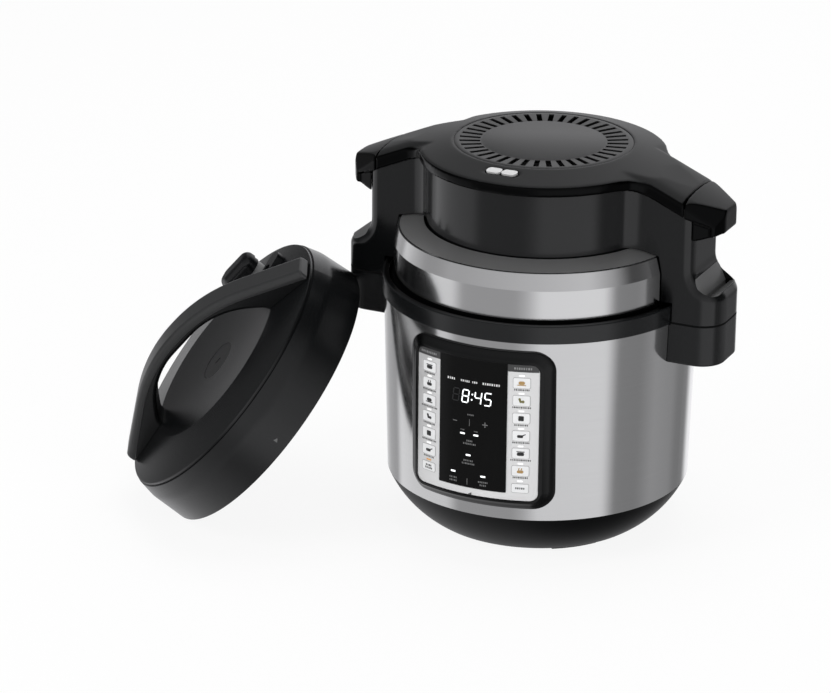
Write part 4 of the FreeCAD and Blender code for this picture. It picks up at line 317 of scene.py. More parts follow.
# Frame round the control panel: a black plastic moulding with a step and a wide soft bevel. It is
# bent to the steel body and clips into it, and the panel's face lies in its opening.
SHELL_FOOT = (0.051, 0.1503)
SHELL_HEAD = (0.236, 0.155)
SHELL_CLEARANCE = 0.0004
FRAME_HALF_WIDTH = 0.0756
FRAME_FOOT_Z, FRAME_HEAD_Z = 0.064, 0.2277
FRAME_CORNER = 0.0195
FRAME_EDGE = 0.0016
FRAME_FRONT_RAD = 0.1614
# The frame's two long level edges are cut into lengths, so that they bend round the body.
LONG_EDGE, LEVEL_WITHIN, LEVEL_CUTS = 0.05, 1e-5, 16
# Each step goes inwards by a distance, to a share of the way from the frame's edge to its front.
FRAME_STEPS = ((0.0006, 0.18), (0.0036, 0.52), (0.0008, 0.56), (0.0030, 0.93), (0.0008, 1.0),
               (0.0022, 1.0), (0.0006, 0.9))


def shell_at(z):
    """Radius of the steel body at a height, just clear of its surface."""
    slope = (SHELL_HEAD[1] - SHELL_FOOT[1]) / (SHELL_HEAD[0] - SHELL_FOOT[0])
    return SHELL_FOOT[1] + slope * (z - SHELL_FOOT[0]) + SHELL_CLEARANCE


def bend_round_body(shape):
    """Bend a flat shape, whose y holds how far out it lies, round the cooker and clear of it."""
    for vert in shape.verts:
        out = max(vert.co.y, shell_at(vert.co.z))
        vert.co.y = -math.sqrt(out * out - vert.co.x * vert.co.x)


def finish_piece(name, shape, material, body, sharp=32.0):
    """Turn a bmesh into a piece of the model that rides on a body."""
    bmesh.ops.recalc_face_normals(shape, faces=shape.faces)
    for face in shape.faces:
        face.smooth = True
    mesh = bpy.data.meshes.new(name)
    shape.to_mesh(mesh)
    shape.free()
    mesh.set_sharp_from_angle(angle=math.radians(sharp))
    mesh.materials.append(material)
    piece = bpy.data.objects.new(name, mesh)
    bpy.context.scene.collection.objects.link(piece)
    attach(piece, body)
    return piece


def make_panel_frame():
    """Rounded plate with an opening: extruded from its outline, then inset step by step."""
    shape = bmesh.new()
    corners = [shape.verts.new(place) for place in (
        (-FRAME_HALF_WIDTH, 0, FRAME_FOOT_Z), (FRAME_HALF_WIDTH, 0, FRAME_FOOT_Z),
        (FRAME_HALF_WIDTH, 0, FRAME_HEAD_Z), (-FRAME_HALF_WIDTH, 0, FRAME_HEAD_Z))]
    shape.faces.new(corners)
    bmesh.ops.bevel(shape, geom=corners, offset=FRAME_CORNER, segments=10, profile=0.5,
                    affect="VERTICES", material=-1)
    level = [edge for edge in shape.edges if edge.calc_length() > LONG_EDGE
             and abs(edge.verts[0].co.z - edge.verts[1].co.z) < LEVEL_WITHIN]
    bmesh.ops.bisect_edges(shape, edges=level, cuts=LEVEL_CUTS)
    middle = bmesh.ops.extrude_discrete_faces(shape, faces=shape.faces[:])["faces"][0]
    for vert in middle.verts:
        vert.co.y = shell_at(vert.co.z) + FRAME_EDGE
    for inward, rise in FRAME_STEPS:
        bmesh.ops.inset_region(shape, faces=[middle], thickness=inward, use_even_offset=True)
        for vert in middle.verts:
            foot = shell_at(vert.co.z) + FRAME_EDGE
            vert.co.y = foot + (FRAME_FRONT_RAD - foot) * rise
    rim = list(middle.edges)
    bmesh.ops.delete(shape, geom=[middle], context="FACES_ONLY")
    drop = bmesh.ops.extrude_edge_only(shape, edges=rim)["geom"]
    for vert in drop:
        if isinstance(vert, bmesh.types.BMVert):
            vert.co.y = 0.0
    bmesh.ops.bridge_loops(shape, edges=[edge for edge in shape.edges if edge.is_boundary])
    bend_round_body(shape)
    return shape


frame_black = plastic("frame_black", 0.0015, 0.2, bump=0.02, specular=0.28)
panel_frame = finish_piece("panel_frame", make_panel_frame(), frame_black, "base",
                           sharp=24)
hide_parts("panel_bezel")


# Printed face of the control panel: a plastic sheet coated silver and bent into the frame, with a
# black glass window down its middle and a printed tab on each side of the window's head.
PANEL_RAD = 0.1604
PLATE_BACK, PLATE_FRONT = PANEL_RAD - 0.0002, PANEL_RAD + 0.0004
STRIP, WIDEST_FLAT = 0.004, 0.012
SAME_PLACE = 1e-6
ALONG_DEPTH = 0.99
FACE_Z, FACE_SIZE, FACE_CORNER = 0.1451, (0.1274, 0.1442), 0.009
FACE_BACK = PANEL_RAD - 0.003
GLASS_TURN, GLASS_Z, GLASS_SIZE, GLASS_CORNER = -0.35, 0.1500, (0.0708, 0.1340), 0.0008
GLASS_FRONT = PANEL_RAD + 0.0008
TAB_TURNS = ((-13.0, -23.2), (12.3, 23.2))
TAB_Z, TAB_TALL = 0.2127, 0.0078
POINTER_TURN, POINTER_Z, POINTER_RAD, POINTER_DEEP = -0.5, 0.0762, 0.0022, 0.0008
POINTER_OUT = PANEL_RAD + 0.0001
SWEEP_PER_METRE, SWEEP_START = 34.0, 1.1
SWEEP_SWING, SWEEP_MIDDLE = 0.28, 0.62
GRAIN_SCALE, GRAIN_ROUGHNESS = 1900.0, 0.08


def make_silver_sheet():
    """Silver coat with a fine grain, and a soft sweep from pale to dark across the panel."""
    group, given, result = new_group("silver_sheet", {
        "Colour": (0.5, 0.5, 0.5, 1), "Streak Colour": (0.3, 0.3, 0.3, 1), "Roughness": 0.3})
    place, x, _, _ = object_place(group)
    across = math_node(group, "MULTIPLY", x, SWEEP_PER_METRE)
    wave = math_node(group, "SINE", math_node(group, "ADD", across, SWEEP_START))
    lift = math_node(group, "MULTIPLY_ADD", wave, SWEEP_SWING, SWEEP_MIDDLE)
    group.links.new(blend_colours(group, lift, given["Streak Colour"], given["Colour"]),
                    result["Colour"])
    grain = noise_node(group, place, GRAIN_SCALE, detail=2.0)
    group.links.new(math_node(group, "MULTIPLY_ADD", grain, GRAIN_ROUGHNESS, given["Roughness"]),
                    result["Roughness"])
    group.links.new(grain, result["Height"])
    return group


def add_plate(shape, x, z, width, height, corner=0.0, back=PLATE_BACK, front=PLATE_FRONT, turn=0.0):
    """Add a flat plate with rounded corners, cut into strips where it is wide enough to bend."""
    size = Matrix.Diagonal((width, front - back, height, 1))
    swing = Matrix.Rotation(math.radians(turn), 4, "Y")
    place = Matrix.Translation((x, (front + back) / 2, z)) @ swing @ size
    verts = bmesh.ops.create_cube(shape, size=1.0, matrix=place)["verts"]
    if corner:
        edges = {edge for vert in verts for edge in vert.link_edges
                 if abs((edge.verts[0].co - edge.verts[1].co).normalized().y) > ALONG_DEPTH}
        bmesh.ops.bevel(shape, geom=list(edges), offset=corner, segments=4, profile=0.5,
                        affect="EDGES", material=-1)
    cut = -width / 2 + STRIP
    while width > WIDEST_FLAT and cut < width / 2 - STRIP / 2:
        bmesh.ops.bisect_plane(shape, geom=shape.verts[:] + shape.edges[:] + shape.faces[:],
                               plane_co=(x + cut, 0, 0), plane_no=(1, 0, 0), dist=SAME_PLACE)
        cut += STRIP


def at_turn(degrees):
    """Distance across the panel of a place given by its turn round the body."""
    return PANEL_RAD * math.sin(math.radians(degrees))


def printed_plastic(name, colour, patch_colour, roughness=0.5, specular=0.5):
    """Smooth plastic or print of one colour with faint patches of another."""
    return feed(plain_material(name, specular=specular), moulding, {
        "Colour": colour, "Patch Colour": patch_colour, "Pebble": 900.0, "Roughness": roughness,
        "Variation": 0.02})


panel_silver = feed(plain_material("panel_silver", metallic=0.35), make_silver_sheet(), {
    "Colour": grey(1.0), "Streak Colour": grey(0.55), "Roughness": 0.26}, bump=0.02)
face_sheet = bmesh.new()
add_plate(face_sheet, 0, FACE_Z, *FACE_SIZE, FACE_CORNER, back=FACE_BACK, front=PANEL_RAD)
bend_round_body(face_sheet)
silver_face = finish_piece("silver_face", face_sheet, panel_silver, "base", sharp=50)
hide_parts("control_panel")

glass_black = printed_plastic("glass_black", grey(0.004), grey(0.005), 0.12, specular=0.12)
glass = bmesh.new()
add_plate(glass, at_turn(GLASS_TURN), GLASS_Z, *GLASS_SIZE, GLASS_CORNER, front=GLASS_FRONT)
bend_round_body(glass)
finish_piece("display_glass", glass, glass_black, "base")

tab_grey = plastic("tab_grey", 0.05, 0.4, bump=0.02)
tabs = bmesh.new()
for inner, outer in TAB_TURNS:
    inner, outer = at_turn(inner), at_turn(outer)
    add_plate(tabs, (inner + outer) / 2, TAB_Z, abs(outer - inner), TAB_TALL)
bmesh.ops.create_cone(
    tabs, cap_ends=True, segments=3, radius1=POINTER_RAD, radius2=POINTER_RAD, depth=POINTER_DEEP,
    matrix=Matrix.Translation((at_turn(POINTER_TURN), POINTER_OUT, POINTER_Z))
    @ Matrix.Rotation(math.pi / 2, 4, "X") @ Matrix.Rotation(math.pi / 2, 4, "Z"))
bend_round_body(tabs)
finish_piece("panel_header_tabs", tabs, tab_grey, "base")


# Keys down both sides of the window: white rounded plastic pads in a grey edge, a little proud of
# the printed face. Each has a plain sign, a lamp above it and a line of fine print below.
KEY_ROWS = 7
# A column is its middle, its top key's height, the step down to the next key and the keys' width.
LEFT_KEYS = (at_turn(-18.0), 0.1979, 0.01733, 0.0153)
RIGHT_KEYS = (at_turn(17.3), 0.1975, 0.01815, 0.0156)
KEY_TALL, LAST_KEY_TALL, KEY_CORNER = 0.0102, 0.0088, 0.0013
EDGE_WIDER, EDGE_CORNER, EDGE_FRONT = 0.0009, 0.0016, PANEL_RAD + 0.0003
LAMP_UP, LAMP_SIZE, LAMP_CORNER = 0.0074, (0.0050, 0.0014), 0.0005
WORD_DOWN, WORD_TALL, WORD_FRONT = 0.0071, 0.0016, PANEL_RAD + 0.0001
SIGN_FRONT = PANEL_RAD + 0.0006
KEY_WORD_TALL = 0.0018
LEFT_WORDS_UP, LEFT_WORDS_DOWN = 0.0012, 0.0016
ORANGE_UP, ORANGE_SIZE = 0.0070, (0.0058, 0.0013)
HEADS = ((at_turn(-18.3), 9), (at_turn(17.7), 8))
HEAD_Z, HEAD_TALL, HEAD_FRONT = 0.2124, 0.0021, PANEL_RAD + 0.0005
PRINT_DEEP = 0.0003
MARK_PITCH = 1.02
MARK_WIDTHS = (0.62, 0.5, 0.7, 0.4)
# A sign's plates: across, up, width, height, corner, turn. A pot, a bowl with steam, a lidded
# dish, a pair of leaves, a block and a pan.
KEY_SIGNS = (
    ((0, -0.0006, 0.0066, 0.0034, 0.0013, 0), (0, 0.0018, 0.0076, 0.0008, 0.0003, 0)),
    ((0, -0.0008, 0.0060, 0.0030, 0.0014, 0), (-0.0012, 0.0020, 0.0008, 0.0022, 0.0003, 14),
     (0.0012, 0.0020, 0.0008, 0.0022, 0.0003, 14)),
    ((0, 0.0002, 0.0058, 0.0034, 0.0016, 0), (0, -0.0021, 0.0080, 0.0008, 0.0003, 0)),
    ((-0.0012, 0.0004, 0.0020, 0.0050, 0.0009, -18), (0.0014, -0.0008, 0.0028, 0.0028, 0.0013, 0)),
    ((0, 0, 0.0050, 0.0050, 0.0008, 0),),
    ((-0.0006, -0.0004, 0.0056, 0.0028, 0.0012, 0), (0.0030, 0.0012, 0.0034, 0.0009, 0.0004, -28)))


def key_places():
    """Middle of each key with its width and row, down the left column and then the right."""
    for x, top, pitch, width in (LEFT_KEYS, RIGHT_KEYS):
        for row in range(KEY_ROWS):
            yield x, top - pitch * row, width, row


def add_print(shape, x, z, letters, height, front):
    """Row of fine upright marks of uneven width that stands for a word."""
    pitch = height * MARK_PITCH
    for place in range(letters):
        width = height * MARK_WIDTHS[(place * 3 + letters) % len(MARK_WIDTHS)]
        add_plate(shape, x + (place - (letters - 1) / 2) * pitch, z, width, height,
                  back=front - PRINT_DEEP, front=front)


def add_sign(shape, x, z, plates):
    """Small plain sign in the middle of a key."""
    for across, up, width, tall, corner, turn in plates:
        add_plate(shape, x + across, z + up, width, tall, corner, back=SIGN_FRONT - PRINT_DEEP,
                  front=SIGN_FRONT, turn=turn)


def make_glow(material, colour, strength):
    """Let a material give light of its own."""
    shader_inputs(material)["Emission Color"].default_value = colour
    shader_inputs(material)["Emission Strength"].default_value = strength


key_white = plastic("key_white", 0.86, 0.34, bump=0.01, tint=0.005)
key_edge = plastic("key_edge", 0.42, 0.4, bump=0.01)
print_dark = plastic("print_dark", 0.02, 0.5, bump=0.01)
print_pale = plastic("print_pale", 0.28, 0.5, bump=0.01)
print_green = printed_plastic("print_green", (0.09, 0.22, 0.07, 1), (0.3, 0.12, 0.06, 1))
print_warm = printed_plastic("print_warm", (0.5, 0.32, 0.12, 1), (0.4, 0.25, 0.1, 1))
lamp_white = printed_plastic("key_lamp_white", grey(0.9), grey(0.88), 0.4)
make_glow(lamp_white, (1, 1, 1, 1), 0.45)
lamp_orange = printed_plastic("key_lamp_orange", (0.85, 0.42, 0.08, 1), (0.8, 0.4, 0.1, 1), 0.4)

pads, edges, lamps, signs, words, warm, green, heads = (bmesh.new() for _ in range(8))
right_targets = {0: warm, 1: green, 5: warm}
for x, z, width, row in key_places():
    right, last = x > 0, row == KEY_ROWS - 1
    tall = LAST_KEY_TALL if last else KEY_TALL
    add_plate(edges, x, z, width + EDGE_WIDER, tall + EDGE_WIDER, EDGE_CORNER, front=EDGE_FRONT)
    add_plate(pads, x, z, width, tall, KEY_CORNER)
    if not last:
        target = right_targets.get(row, signs) if right else signs
        add_sign(target, x, z, KEY_SIGNS[(row + right * 2) % len(KEY_SIGNS)])
        add_print(words, x, z - WORD_DOWN, 8 + (row * 2 + right) % 5, WORD_TALL, WORD_FRONT)
    elif right:
        add_print(signs, x, z, 5, KEY_WORD_TALL, SIGN_FRONT)
    else:
        add_print(signs, x, z + LEFT_WORDS_UP, 4, KEY_WORD_TALL, SIGN_FRONT)
        add_print(signs, x, z - LEFT_WORDS_DOWN, 5, KEY_WORD_TALL, SIGN_FRONT)
    if right or not last:
        add_plate(lamps, x, z + LAMP_UP, *LAMP_SIZE, LAMP_CORNER)
for column, letters in HEADS:
    add_print(heads, column, HEAD_Z, letters, HEAD_TALL, HEAD_FRONT)
for name, shape, material in (
        ("panel_key_edges", edges, key_edge), ("panel_key_pads", pads, key_white),
        ("panel_key_lamps", lamps, lamp_white), ("panel_key_signs", signs, print_dark),
        ("panel_key_words", words, print_dark), ("panel_key_warm_signs", warm, print_warm),
        ("panel_key_green_sign", green, print_green), ("panel_header_words", heads, print_pale)):
    bend_round_body(shape)
    finish_piece(name, shape, material, "base")
orange = bmesh.new()
column, top, pitch, _ = LEFT_KEYS
add_plate(orange, column, top - pitch * (KEY_ROWS - 1) + ORANGE_UP, *ORANGE_SIZE, LAMP_CORNER)
bend_round_body(orange)
finish_piece("panel_key_lamp_on", orange, lamp_orange, "base")


# Signs behind the glass: a lit clock of slanted bars, small bars over the touch keys, and white
# and dim print for their words. They are printed on the back of the glass or shine through it.
GLASS_SIGN, GLASS_SIGN_BACK = GLASS_FRONT + 0.0001, GLASS_FRONT - 0.0002
CLOCK_Z = 0.1775
CLOCK_DIGITS = ((-0.0076, "abcdefg"), (0.0056, "bcfg"), (0.0157, "acdfg"))
UNLIT_X = -0.0178
DIGIT_WIDE, DIGIT_TALL, DIGIT_SLANT = 0.0065, 0.0128, 0.12
BAR_THICK, BAR_SHORTER, BAR_CORNER = 0.0012, 0.7, 0.0005
# A bar's side, its level and whether it lies flat.
BAR_PLACES = {"a": (0, 1, 1), "g": (0, 0, 1), "d": (0, -1, 1), "f": (-1, 0.5, 0), "b": (1, 0.5, 0),
              "e": (-1, -0.5, 0), "c": (1, -0.5, 0)}
COLON_X, COLON_HALF_GAP, COLON_SIZE, COLON_CORNER = -0.0006, 0.0028, (0.0016, 0.0016), 0.0006
# Words: turn, height, letters and their size. Dim bars: turn, height, width and how tall.
WHITE_WORDS = ((-8.4, 0.1930, 4, 0.0022), (-2.9, 0.1930, 5, 0.0020), (0.7, 0.1930, 3, 0.0020),
               (6.7, 0.1932, 8, 0.0022))
DIM_WORDS = (
    (-0.7, 0.1588, 5, 0.0014), (-3.7, 0.1424, 4, 0.0011), (1.4, 0.1424, 4, 0.0011),
    (-1.0, 0.1317, 4, 0.0017), (-1.0, 0.1286, 8, 0.0017), (-1.4, 0.1110, 6, 0.0017),
    (-1.4, 0.1079, 8, 0.0017), (-7.2, 0.0908, 5, 0.0017), (-7.2, 0.0876, 5, 0.0017),
    (4.2, 0.0908, 6, 0.0017), (4.2, 0.0876, 4, 0.0017))
DIM_BARS = (
    (-6.7, 0.1503, 0.0044, 0.0009), (4.7, 0.1508, 0.0054, 0.0009), (4.7, 0.1508, 0.0009, 0.0054),
    (-1.1, 0.1506, 0.0005, 0.0070), (-1.7, 0.0890, 0.0005, 0.0066))
LIT_BARS = ((-3.7, 0.1386), (1.4, 0.1386), (-1.4, 0.1168), (-7.2, 0.0972), (4.2, 0.0968))
LIT_BAR_SIZE, LIT_BAR_CORNER = (0.0050, 0.0017), 0.0004

digit_glow = printed_plastic("digit_glow", grey(0.9), grey(0.9))
make_glow(digit_glow, (0.92, 0.97, 1, 1), 0.9)
digit_off = plastic("digit_off", 0.009, 0.3, bump=0.0)
print_white = plastic("print_white", 0.75, 0.5, bump=0.0)
print_dim = plastic("print_dim", 0.16, 0.5, bump=0.0)


def add_glass_sign(shape, x, z, width, height, corner=0.0, turn=0.0):
    """Plate of print or light in the window."""
    add_plate(shape, x, z, width, height, corner, back=GLASS_SIGN_BACK, front=GLASS_SIGN, turn=turn)


def add_digit(shape, x, bars):
    """One digit of the clock from its bars, leaning to the right."""
    shorter = BAR_THICK * BAR_SHORTER
    for name in bars:
        side, level, flat = BAR_PLACES[name]
        height = level * DIGIT_TALL / 2
        across = side * DIGIT_WIDE / 2 + DIGIT_SLANT * height
        size = (DIGIT_WIDE - shorter, BAR_THICK) if flat else (BAR_THICK, DIGIT_TALL / 2 - shorter)
        add_glass_sign(shape, x + across, CLOCK_Z + height, *size, BAR_CORNER,
                       turn=0 if flat else math.degrees(DIGIT_SLANT))


lit, unlit, printed, dim_print = (bmesh.new() for _ in range(4))
for x, bars in CLOCK_DIGITS:
    add_digit(lit, x, bars)
add_digit(unlit, UNLIT_X, "abcdefg")
for height in (-COLON_HALF_GAP, COLON_HALF_GAP):
    add_glass_sign(lit, COLON_X + height * DIGIT_SLANT, CLOCK_Z + height, *COLON_SIZE, COLON_CORNER)
for shape, rows in ((printed, WHITE_WORDS), (dim_print, DIM_WORDS)):
    for turn, z, letters, height in rows:
        add_print(shape, at_turn(turn), z, letters, height, GLASS_SIGN)
for turn, z, width, height in DIM_BARS:
    add_glass_sign(dim_print, at_turn(turn), z, width, height)
for turn, z in LIT_BARS:
    add_glass_sign(lit, at_turn(turn), z, *LIT_BAR_SIZE, LIT_BAR_CORNER)
for name, shape, material in (
        ("clock_digits", lit, digit_glow), ("clock_digit_unlit", unlit, digit_off),
        ("glass_words", printed, print_white), ("glass_print", dim_print, print_dim)):
    bend_round_body(shape)
    finish_piece(name, shape, material, "base")


# Boards: one behind the panel, with a black display block soldered to it, and a power board on
# posts over the bottom cover. Both are sheets of green laminate with copper runs.
RUN_SCALE, RUN_WIDTH = 260.0, 0.09
BOARD_ROUGHNESS, RUN_ROUGHER = 0.35, 0.12


def make_laminate():
    """Green lacquer over paler straight runs of copper."""
    group, given, result = new_group("board_laminate", {
        "Colour": (0.02, 0.09, 0.035, 1), "Run Colour": (0.05, 0.17, 0.07, 1)})
    cells = group.nodes.new("ShaderNodeTexVoronoi")
    cells.feature = "DISTANCE_TO_EDGE"
    cells.inputs["Scale"].default_value = RUN_SCALE
    group.links.new(object_place(group)[0], cells.inputs["Vector"])
    runs = math_node(group, "LESS_THAN", cells.outputs["Distance"], RUN_WIDTH)
    group.links.new(blend_colours(group, runs, given["Colour"], given["Run Colour"]),
                    result["Colour"])
    group.links.new(math_node(group, "MULTIPLY_ADD", runs, RUN_ROUGHER, BOARD_ROUGHNESS),
                    result["Roughness"])
    group.links.new(runs, result["Height"])
    return group


board_green = feed(plain_material("board_green"), make_laminate(), {}, bump=0.2)
dress(board_green, "control_board", "power_board")
display_black = plastic("display_black", 0.006, 0.2, bump=0.0)
dress(display_black, "display_module")


# Fittings: brass blades in the mains inlet, brass pins under the frying lid's right column that
# plug into the base, and a moulded clear cup that slides into its holder and catches condensed
# steam.
brass = feed(plain_material("brass", metallic=1.0), brushing, {
    "Colour": (0.72, 0.52, 0.24, 1), "Streak Colour": (0.6, 0.42, 0.2, 1), "Lines": 700.0,
    "Roughness": 0.3, "Variation": 0.1})
dress(brass, "inlet_blades", "lid_contacts")
cup_clear = feed(plain_material("cup_clear"), moulding, {
    "Colour": grey(0.82), "Patch Colour": grey(0.8), "Pebble": 1100.0, "Roughness": 0.12,
    "Variation": 0.03}, bump=0.03)
shader_inputs(cup_clear)["Transmission Weight"].default_value = 0.85
shader_inputs(cup_clear)["IOR"].default_value = 1.49
dress(cup_clear, "condensation_cup")


# Inside the base: a steel liner and locking ring, a cast heating plate with its tube element, a
# sprung temperature sensor, and a non-stick pot.
FLECK_SCALE, FLECK_LEVEL, FLECK_ROUGHNESS = 900.0, 0.66, 0.1


def make_speckle():
    """Charcoal coating with sparse pale flecks."""
    group, given, result = new_group("speckled_coating", {
        "Colour": (0.03, 0.03, 0.032, 1), "Fleck Colour": (0.2, 0.2, 0.2, 1), "Roughness": 0.38})
    noise = noise_node(group, object_place(group)[0], FLECK_SCALE, detail=2.0)
    flecks = math_node(group, "GREATER_THAN", noise, FLECK_LEVEL)
    group.links.new(blend_colours(group, flecks, given["Colour"], given["Fleck Colour"]),
                    result["Colour"])
    group.links.new(math_node(group, "MULTIPLY_ADD", noise, FLECK_ROUGHNESS, given["Roughness"]),
                    result["Roughness"])
    group.links.new(noise, result["Height"])
    return group


inner_steel = brushed("inner_steel", level=0.55, streaks=0.48, lines=1200.0, roughness=0.3,
                      variation=0.1, bump=0.05)
dress(inner_steel, "inner_liner", "locking_ring", "sensor_cup", "sensor_button")
cast_aluminium = feed(plain_material("cast_aluminium", metallic=0.9), moulding, {
    "Colour": grey(0.42), "Patch Colour": grey(0.5), "Pebble": 380.0, "Roughness": 0.5,
    "Variation": 0.15}, bump=0.3)
dress(cast_aluminium, "heating_plate")
tube_dark = feed(plain_material("tube_dark", metallic=0.7), moulding, {
    "Colour": (0.07, 0.062, 0.055, 1), "Patch Colour": (0.12, 0.1, 0.08, 1), "Pebble": 500.0,
    "Roughness": 0.48, "Variation": 0.12}, bump=0.15)
dress(tube_dark, "plate_element", "fryer_element")
pot_coating = feed(plain_material("pot_coating", metallic=0.2), make_speckle(), {}, bump=0.08)
dress(pot_coating, "inner_pot")


# Frying lid: a satin cover over a glossier black drum and columns, with a steel ring and a seal
# under them. The cover carries the round grille and a two-part indicator light.
# Normal heights between which a face goes from the sides' painted shade to the satin top.
FACING_SIDE, FACING_UP = 0.62, 0.78
PEBBLE_SCALE, PEBBLE_ROUGHNESS = 1500.0, 0.05
COVER_VOXEL, COVER_ROUNDS = 0.0014, 8
# Below this height the grille is painted black and dull, as shade inside its slots.
GRILLE_FACE_Z = 0.3886
SLOTS, SLOT_HALF = 40, 0.0026
# Each ring's radius and height. The slots run between the third and the fourth.
GRILLE_RINGS = ((0.0590, 0.3900), (0.0610, 0.3890), (0.0620, 0.38905), (0.0824, 0.3896),
                (0.0862, 0.3896), (0.0882, 0.3884))
SLOTTED_LEVEL = 2
GRILLE_THICK = 0.0024
SECTOR_GAP = 2e-6
LIGHT_HALF_X, LIGHT_SIZE, LIGHT_CORNER = 0.0079, (0.0148, 0.0082), 0.0034
LIGHT_BACK, LIGHT_FRONT = -0.0012, 0.0008
LIGHT_SLANT = 0.22
LIGHT_PLACE = Matrix.Translation((0, -0.1, 0.3869)) @ Matrix.Rotation(math.radians(14.6), 4, "X")


def range_node(tree, value, low, high):
    """Share of the way that a value lies from low to high, held between 0 and 1."""
    node = tree.nodes.new("ShaderNodeMapRange")
    node.inputs["From Min"].default_value = low
    node.inputs["From Max"].default_value = high
    tree.links.new(value, node.inputs["Value"])
    return node.outputs[0]


def make_satin_with_shaded_sides():
    """Satin where the moulding faces up, glossy where it turns down at the sides, and darker there
    as painted shade.

    The sides come out metallic, which keeps their reflections as dim as their colour: painted shade
    as well.
    """
    group, given, result = new_group("satin_with_shaded_sides", {
        "Colour": (0.02, 0.02, 0.02, 1), "Shaded Side Colour": (0.004, 0.004, 0.004, 1), "Roughness": 0.4,
        "Side Roughness": 0.16}, more=["Side"])
    pebble = noise_node(group, object_place(group)[0], PEBBLE_SCALE, detail=2.0)
    facing = group.nodes.new("ShaderNodeNewGeometry")
    split = group.nodes.new("ShaderNodeSeparateXYZ")
    group.links.new(facing.outputs["Normal"], split.inputs[0])
    upward = range_node(group, split.outputs[2], FACING_SIDE, FACING_UP)
    group.links.new(blend_colours(group, upward, given["Shaded Side Colour"], given["Colour"]),
                    result["Colour"])
    gap = math_node(group, "SUBTRACT", given["Roughness"], given["Side Roughness"])
    rough = math_node(group, "MULTIPLY_ADD", upward, gap, given["Side Roughness"])
    group.links.new(math_node(group, "MULTIPLY_ADD", pebble, PEBBLE_ROUGHNESS, rough),
                    result["Roughness"])
    group.links.new(math_node(group, "MULTIPLY", pebble, upward), result["Height"])
    group.links.new(math_node(group, "SUBTRACT", 1.0, upward), result["Side"])
    return group


def make_slotted():
    """Satin face, black and dull below it inside the slots as painted shade."""
    group, given, result = new_group("slotted_moulding", {
        "Colour": (0.024, 0.024, 0.0245, 1), "Slot Shade Colour": (0.0008, 0.0008, 0.0008, 1),
        "Roughness": 0.4})
    place, _, _, z = object_place(group)
    above = math_node(group, "GREATER_THAN", z, GRILLE_FACE_Z)
    group.links.new(blend_colours(group, above, given["Slot Shade Colour"], given["Colour"]),
                    result["Colour"])
    rough = math_node(group, "SUBTRACT", given["Roughness"], 1.0)
    group.links.new(math_node(group, "MULTIPLY_ADD", above, rough, 1.0), result["Roughness"])
    group.links.new(noise_node(group, place, PEBBLE_SCALE, detail=2.0), result["Height"])
    return group


def soft_copy(node, voxel, rounds):
    """Copy of a CAD node with its edges rubbed round: joined, meshed evenly and smoothed."""
    shape = bmesh.new()
    shape.from_mesh(nodes[node].data)
    bmesh.ops.remove_doubles(shape, verts=shape.verts, dist=SAME_PLACE)
    rough = bpy.data.objects.new("rough", bpy.data.meshes.new("rough"))
    shape.to_mesh(rough.data)
    shape.free()
    bpy.context.scene.collection.objects.link(rough)
    even = rough.modifiers.new("even", "REMESH")
    even.mode = "VOXEL"
    even.voxel_size = voxel
    graph = bpy.context.evaluated_depsgraph_get()
    mesh = bpy.data.meshes.new_from_object(rough.evaluated_get(graph))
    shape = bmesh.new()
    shape.from_mesh(mesh)
    for _ in range(rounds):
        bmesh.ops.smooth_vert(shape, verts=shape.verts, factor=0.5, use_axis_x=True,
                              use_axis_y=True, use_axis_z=True)
    for leftover in (rough.data, mesh):
        bpy.data.meshes.remove(leftover)
    return shape


def make_grille():
    """Disc with radial slots: one sector is drawn as strips, turned round and given a thickness."""
    shape = bmesh.new()
    half_turn = math.pi / SLOTS
    rows = []
    for radius, z in GRILLE_RINGS:
        slot_turn = math.asin(SLOT_HALF / radius)
        rows.append([shape.verts.new((radius * math.sin(turn), -radius * math.cos(turn), z))
                     for turn in (-half_turn, -slot_turn, slot_turn, half_turn)])
    for level, (inner, outer) in enumerate(zip(rows, rows[1:])):
        for step in range(3):
            if level != SLOTTED_LEVEL or step != 1:
                shape.faces.new((outer[step], outer[step + 1], inner[step + 1], inner[step]))
    middle = shape.verts.new((0, 0, GRILLE_RINGS[0][1]))
    for step in range(3):
        shape.faces.new((rows[0][step], rows[0][step + 1], middle))
    bmesh.ops.spin(shape, geom=shape.faces[:] + shape.edges[:] + shape.verts[:], cent=(0, 0, 0),
                   axis=(0, 0, 1), angle=2 * math.pi * (SLOTS - 1) / SLOTS, steps=SLOTS - 1,
                   use_duplicate=True)
    bmesh.ops.remove_doubles(shape, verts=shape.verts, dist=SECTOR_GAP)
    bmesh.ops.recalc_face_normals(shape, faces=shape.faces)
    bmesh.ops.solidify(shape, geom=shape.faces[:], thickness=GRILLE_THICK)
    return shape


# The cover's sides are darkened as painted shade, by which way each face turns.
lid_satin = feed(plain_material("lid_satin"), make_satin_with_shaded_sides(), {
    "Colour": grey(0.012, 0.02), "Shaded Side Colour": grey(0.008, 0.02), "Roughness": 0.42,
    "Side Roughness": 0.13}, bump=0.12, depth=PEBBLE_DEPTH)
soft_cover = finish_piece("soft_top_cover", soft_copy("lid_top_cover", COVER_VOXEL, COVER_ROUNDS),
                          lid_satin, "frying_lid", sharp=60)
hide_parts("lid_top_cover")
scoop_grey = plastic("scoop_grey", 0.09, 0.3, bump=0.06)
dress(scoop_grey, "right_grip_scoop", "left_grip_scoop")

grille_grey = feed(plain_material("grille_grey"), make_slotted(), {}, bump=0.12, depth=PEBBLE_DEPTH)
grille = finish_piece("slotted_grille", make_grille(), grille_grey, "frying_lid",
                      sharp=40)
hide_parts("vent_grille")
lid_gloss = plastic("lid_gloss", 0.003, 0.16, bump=0.01, variation=0.03)
shade_seam(lid_gloss)
dress(lid_gloss, "lid_side_housing")

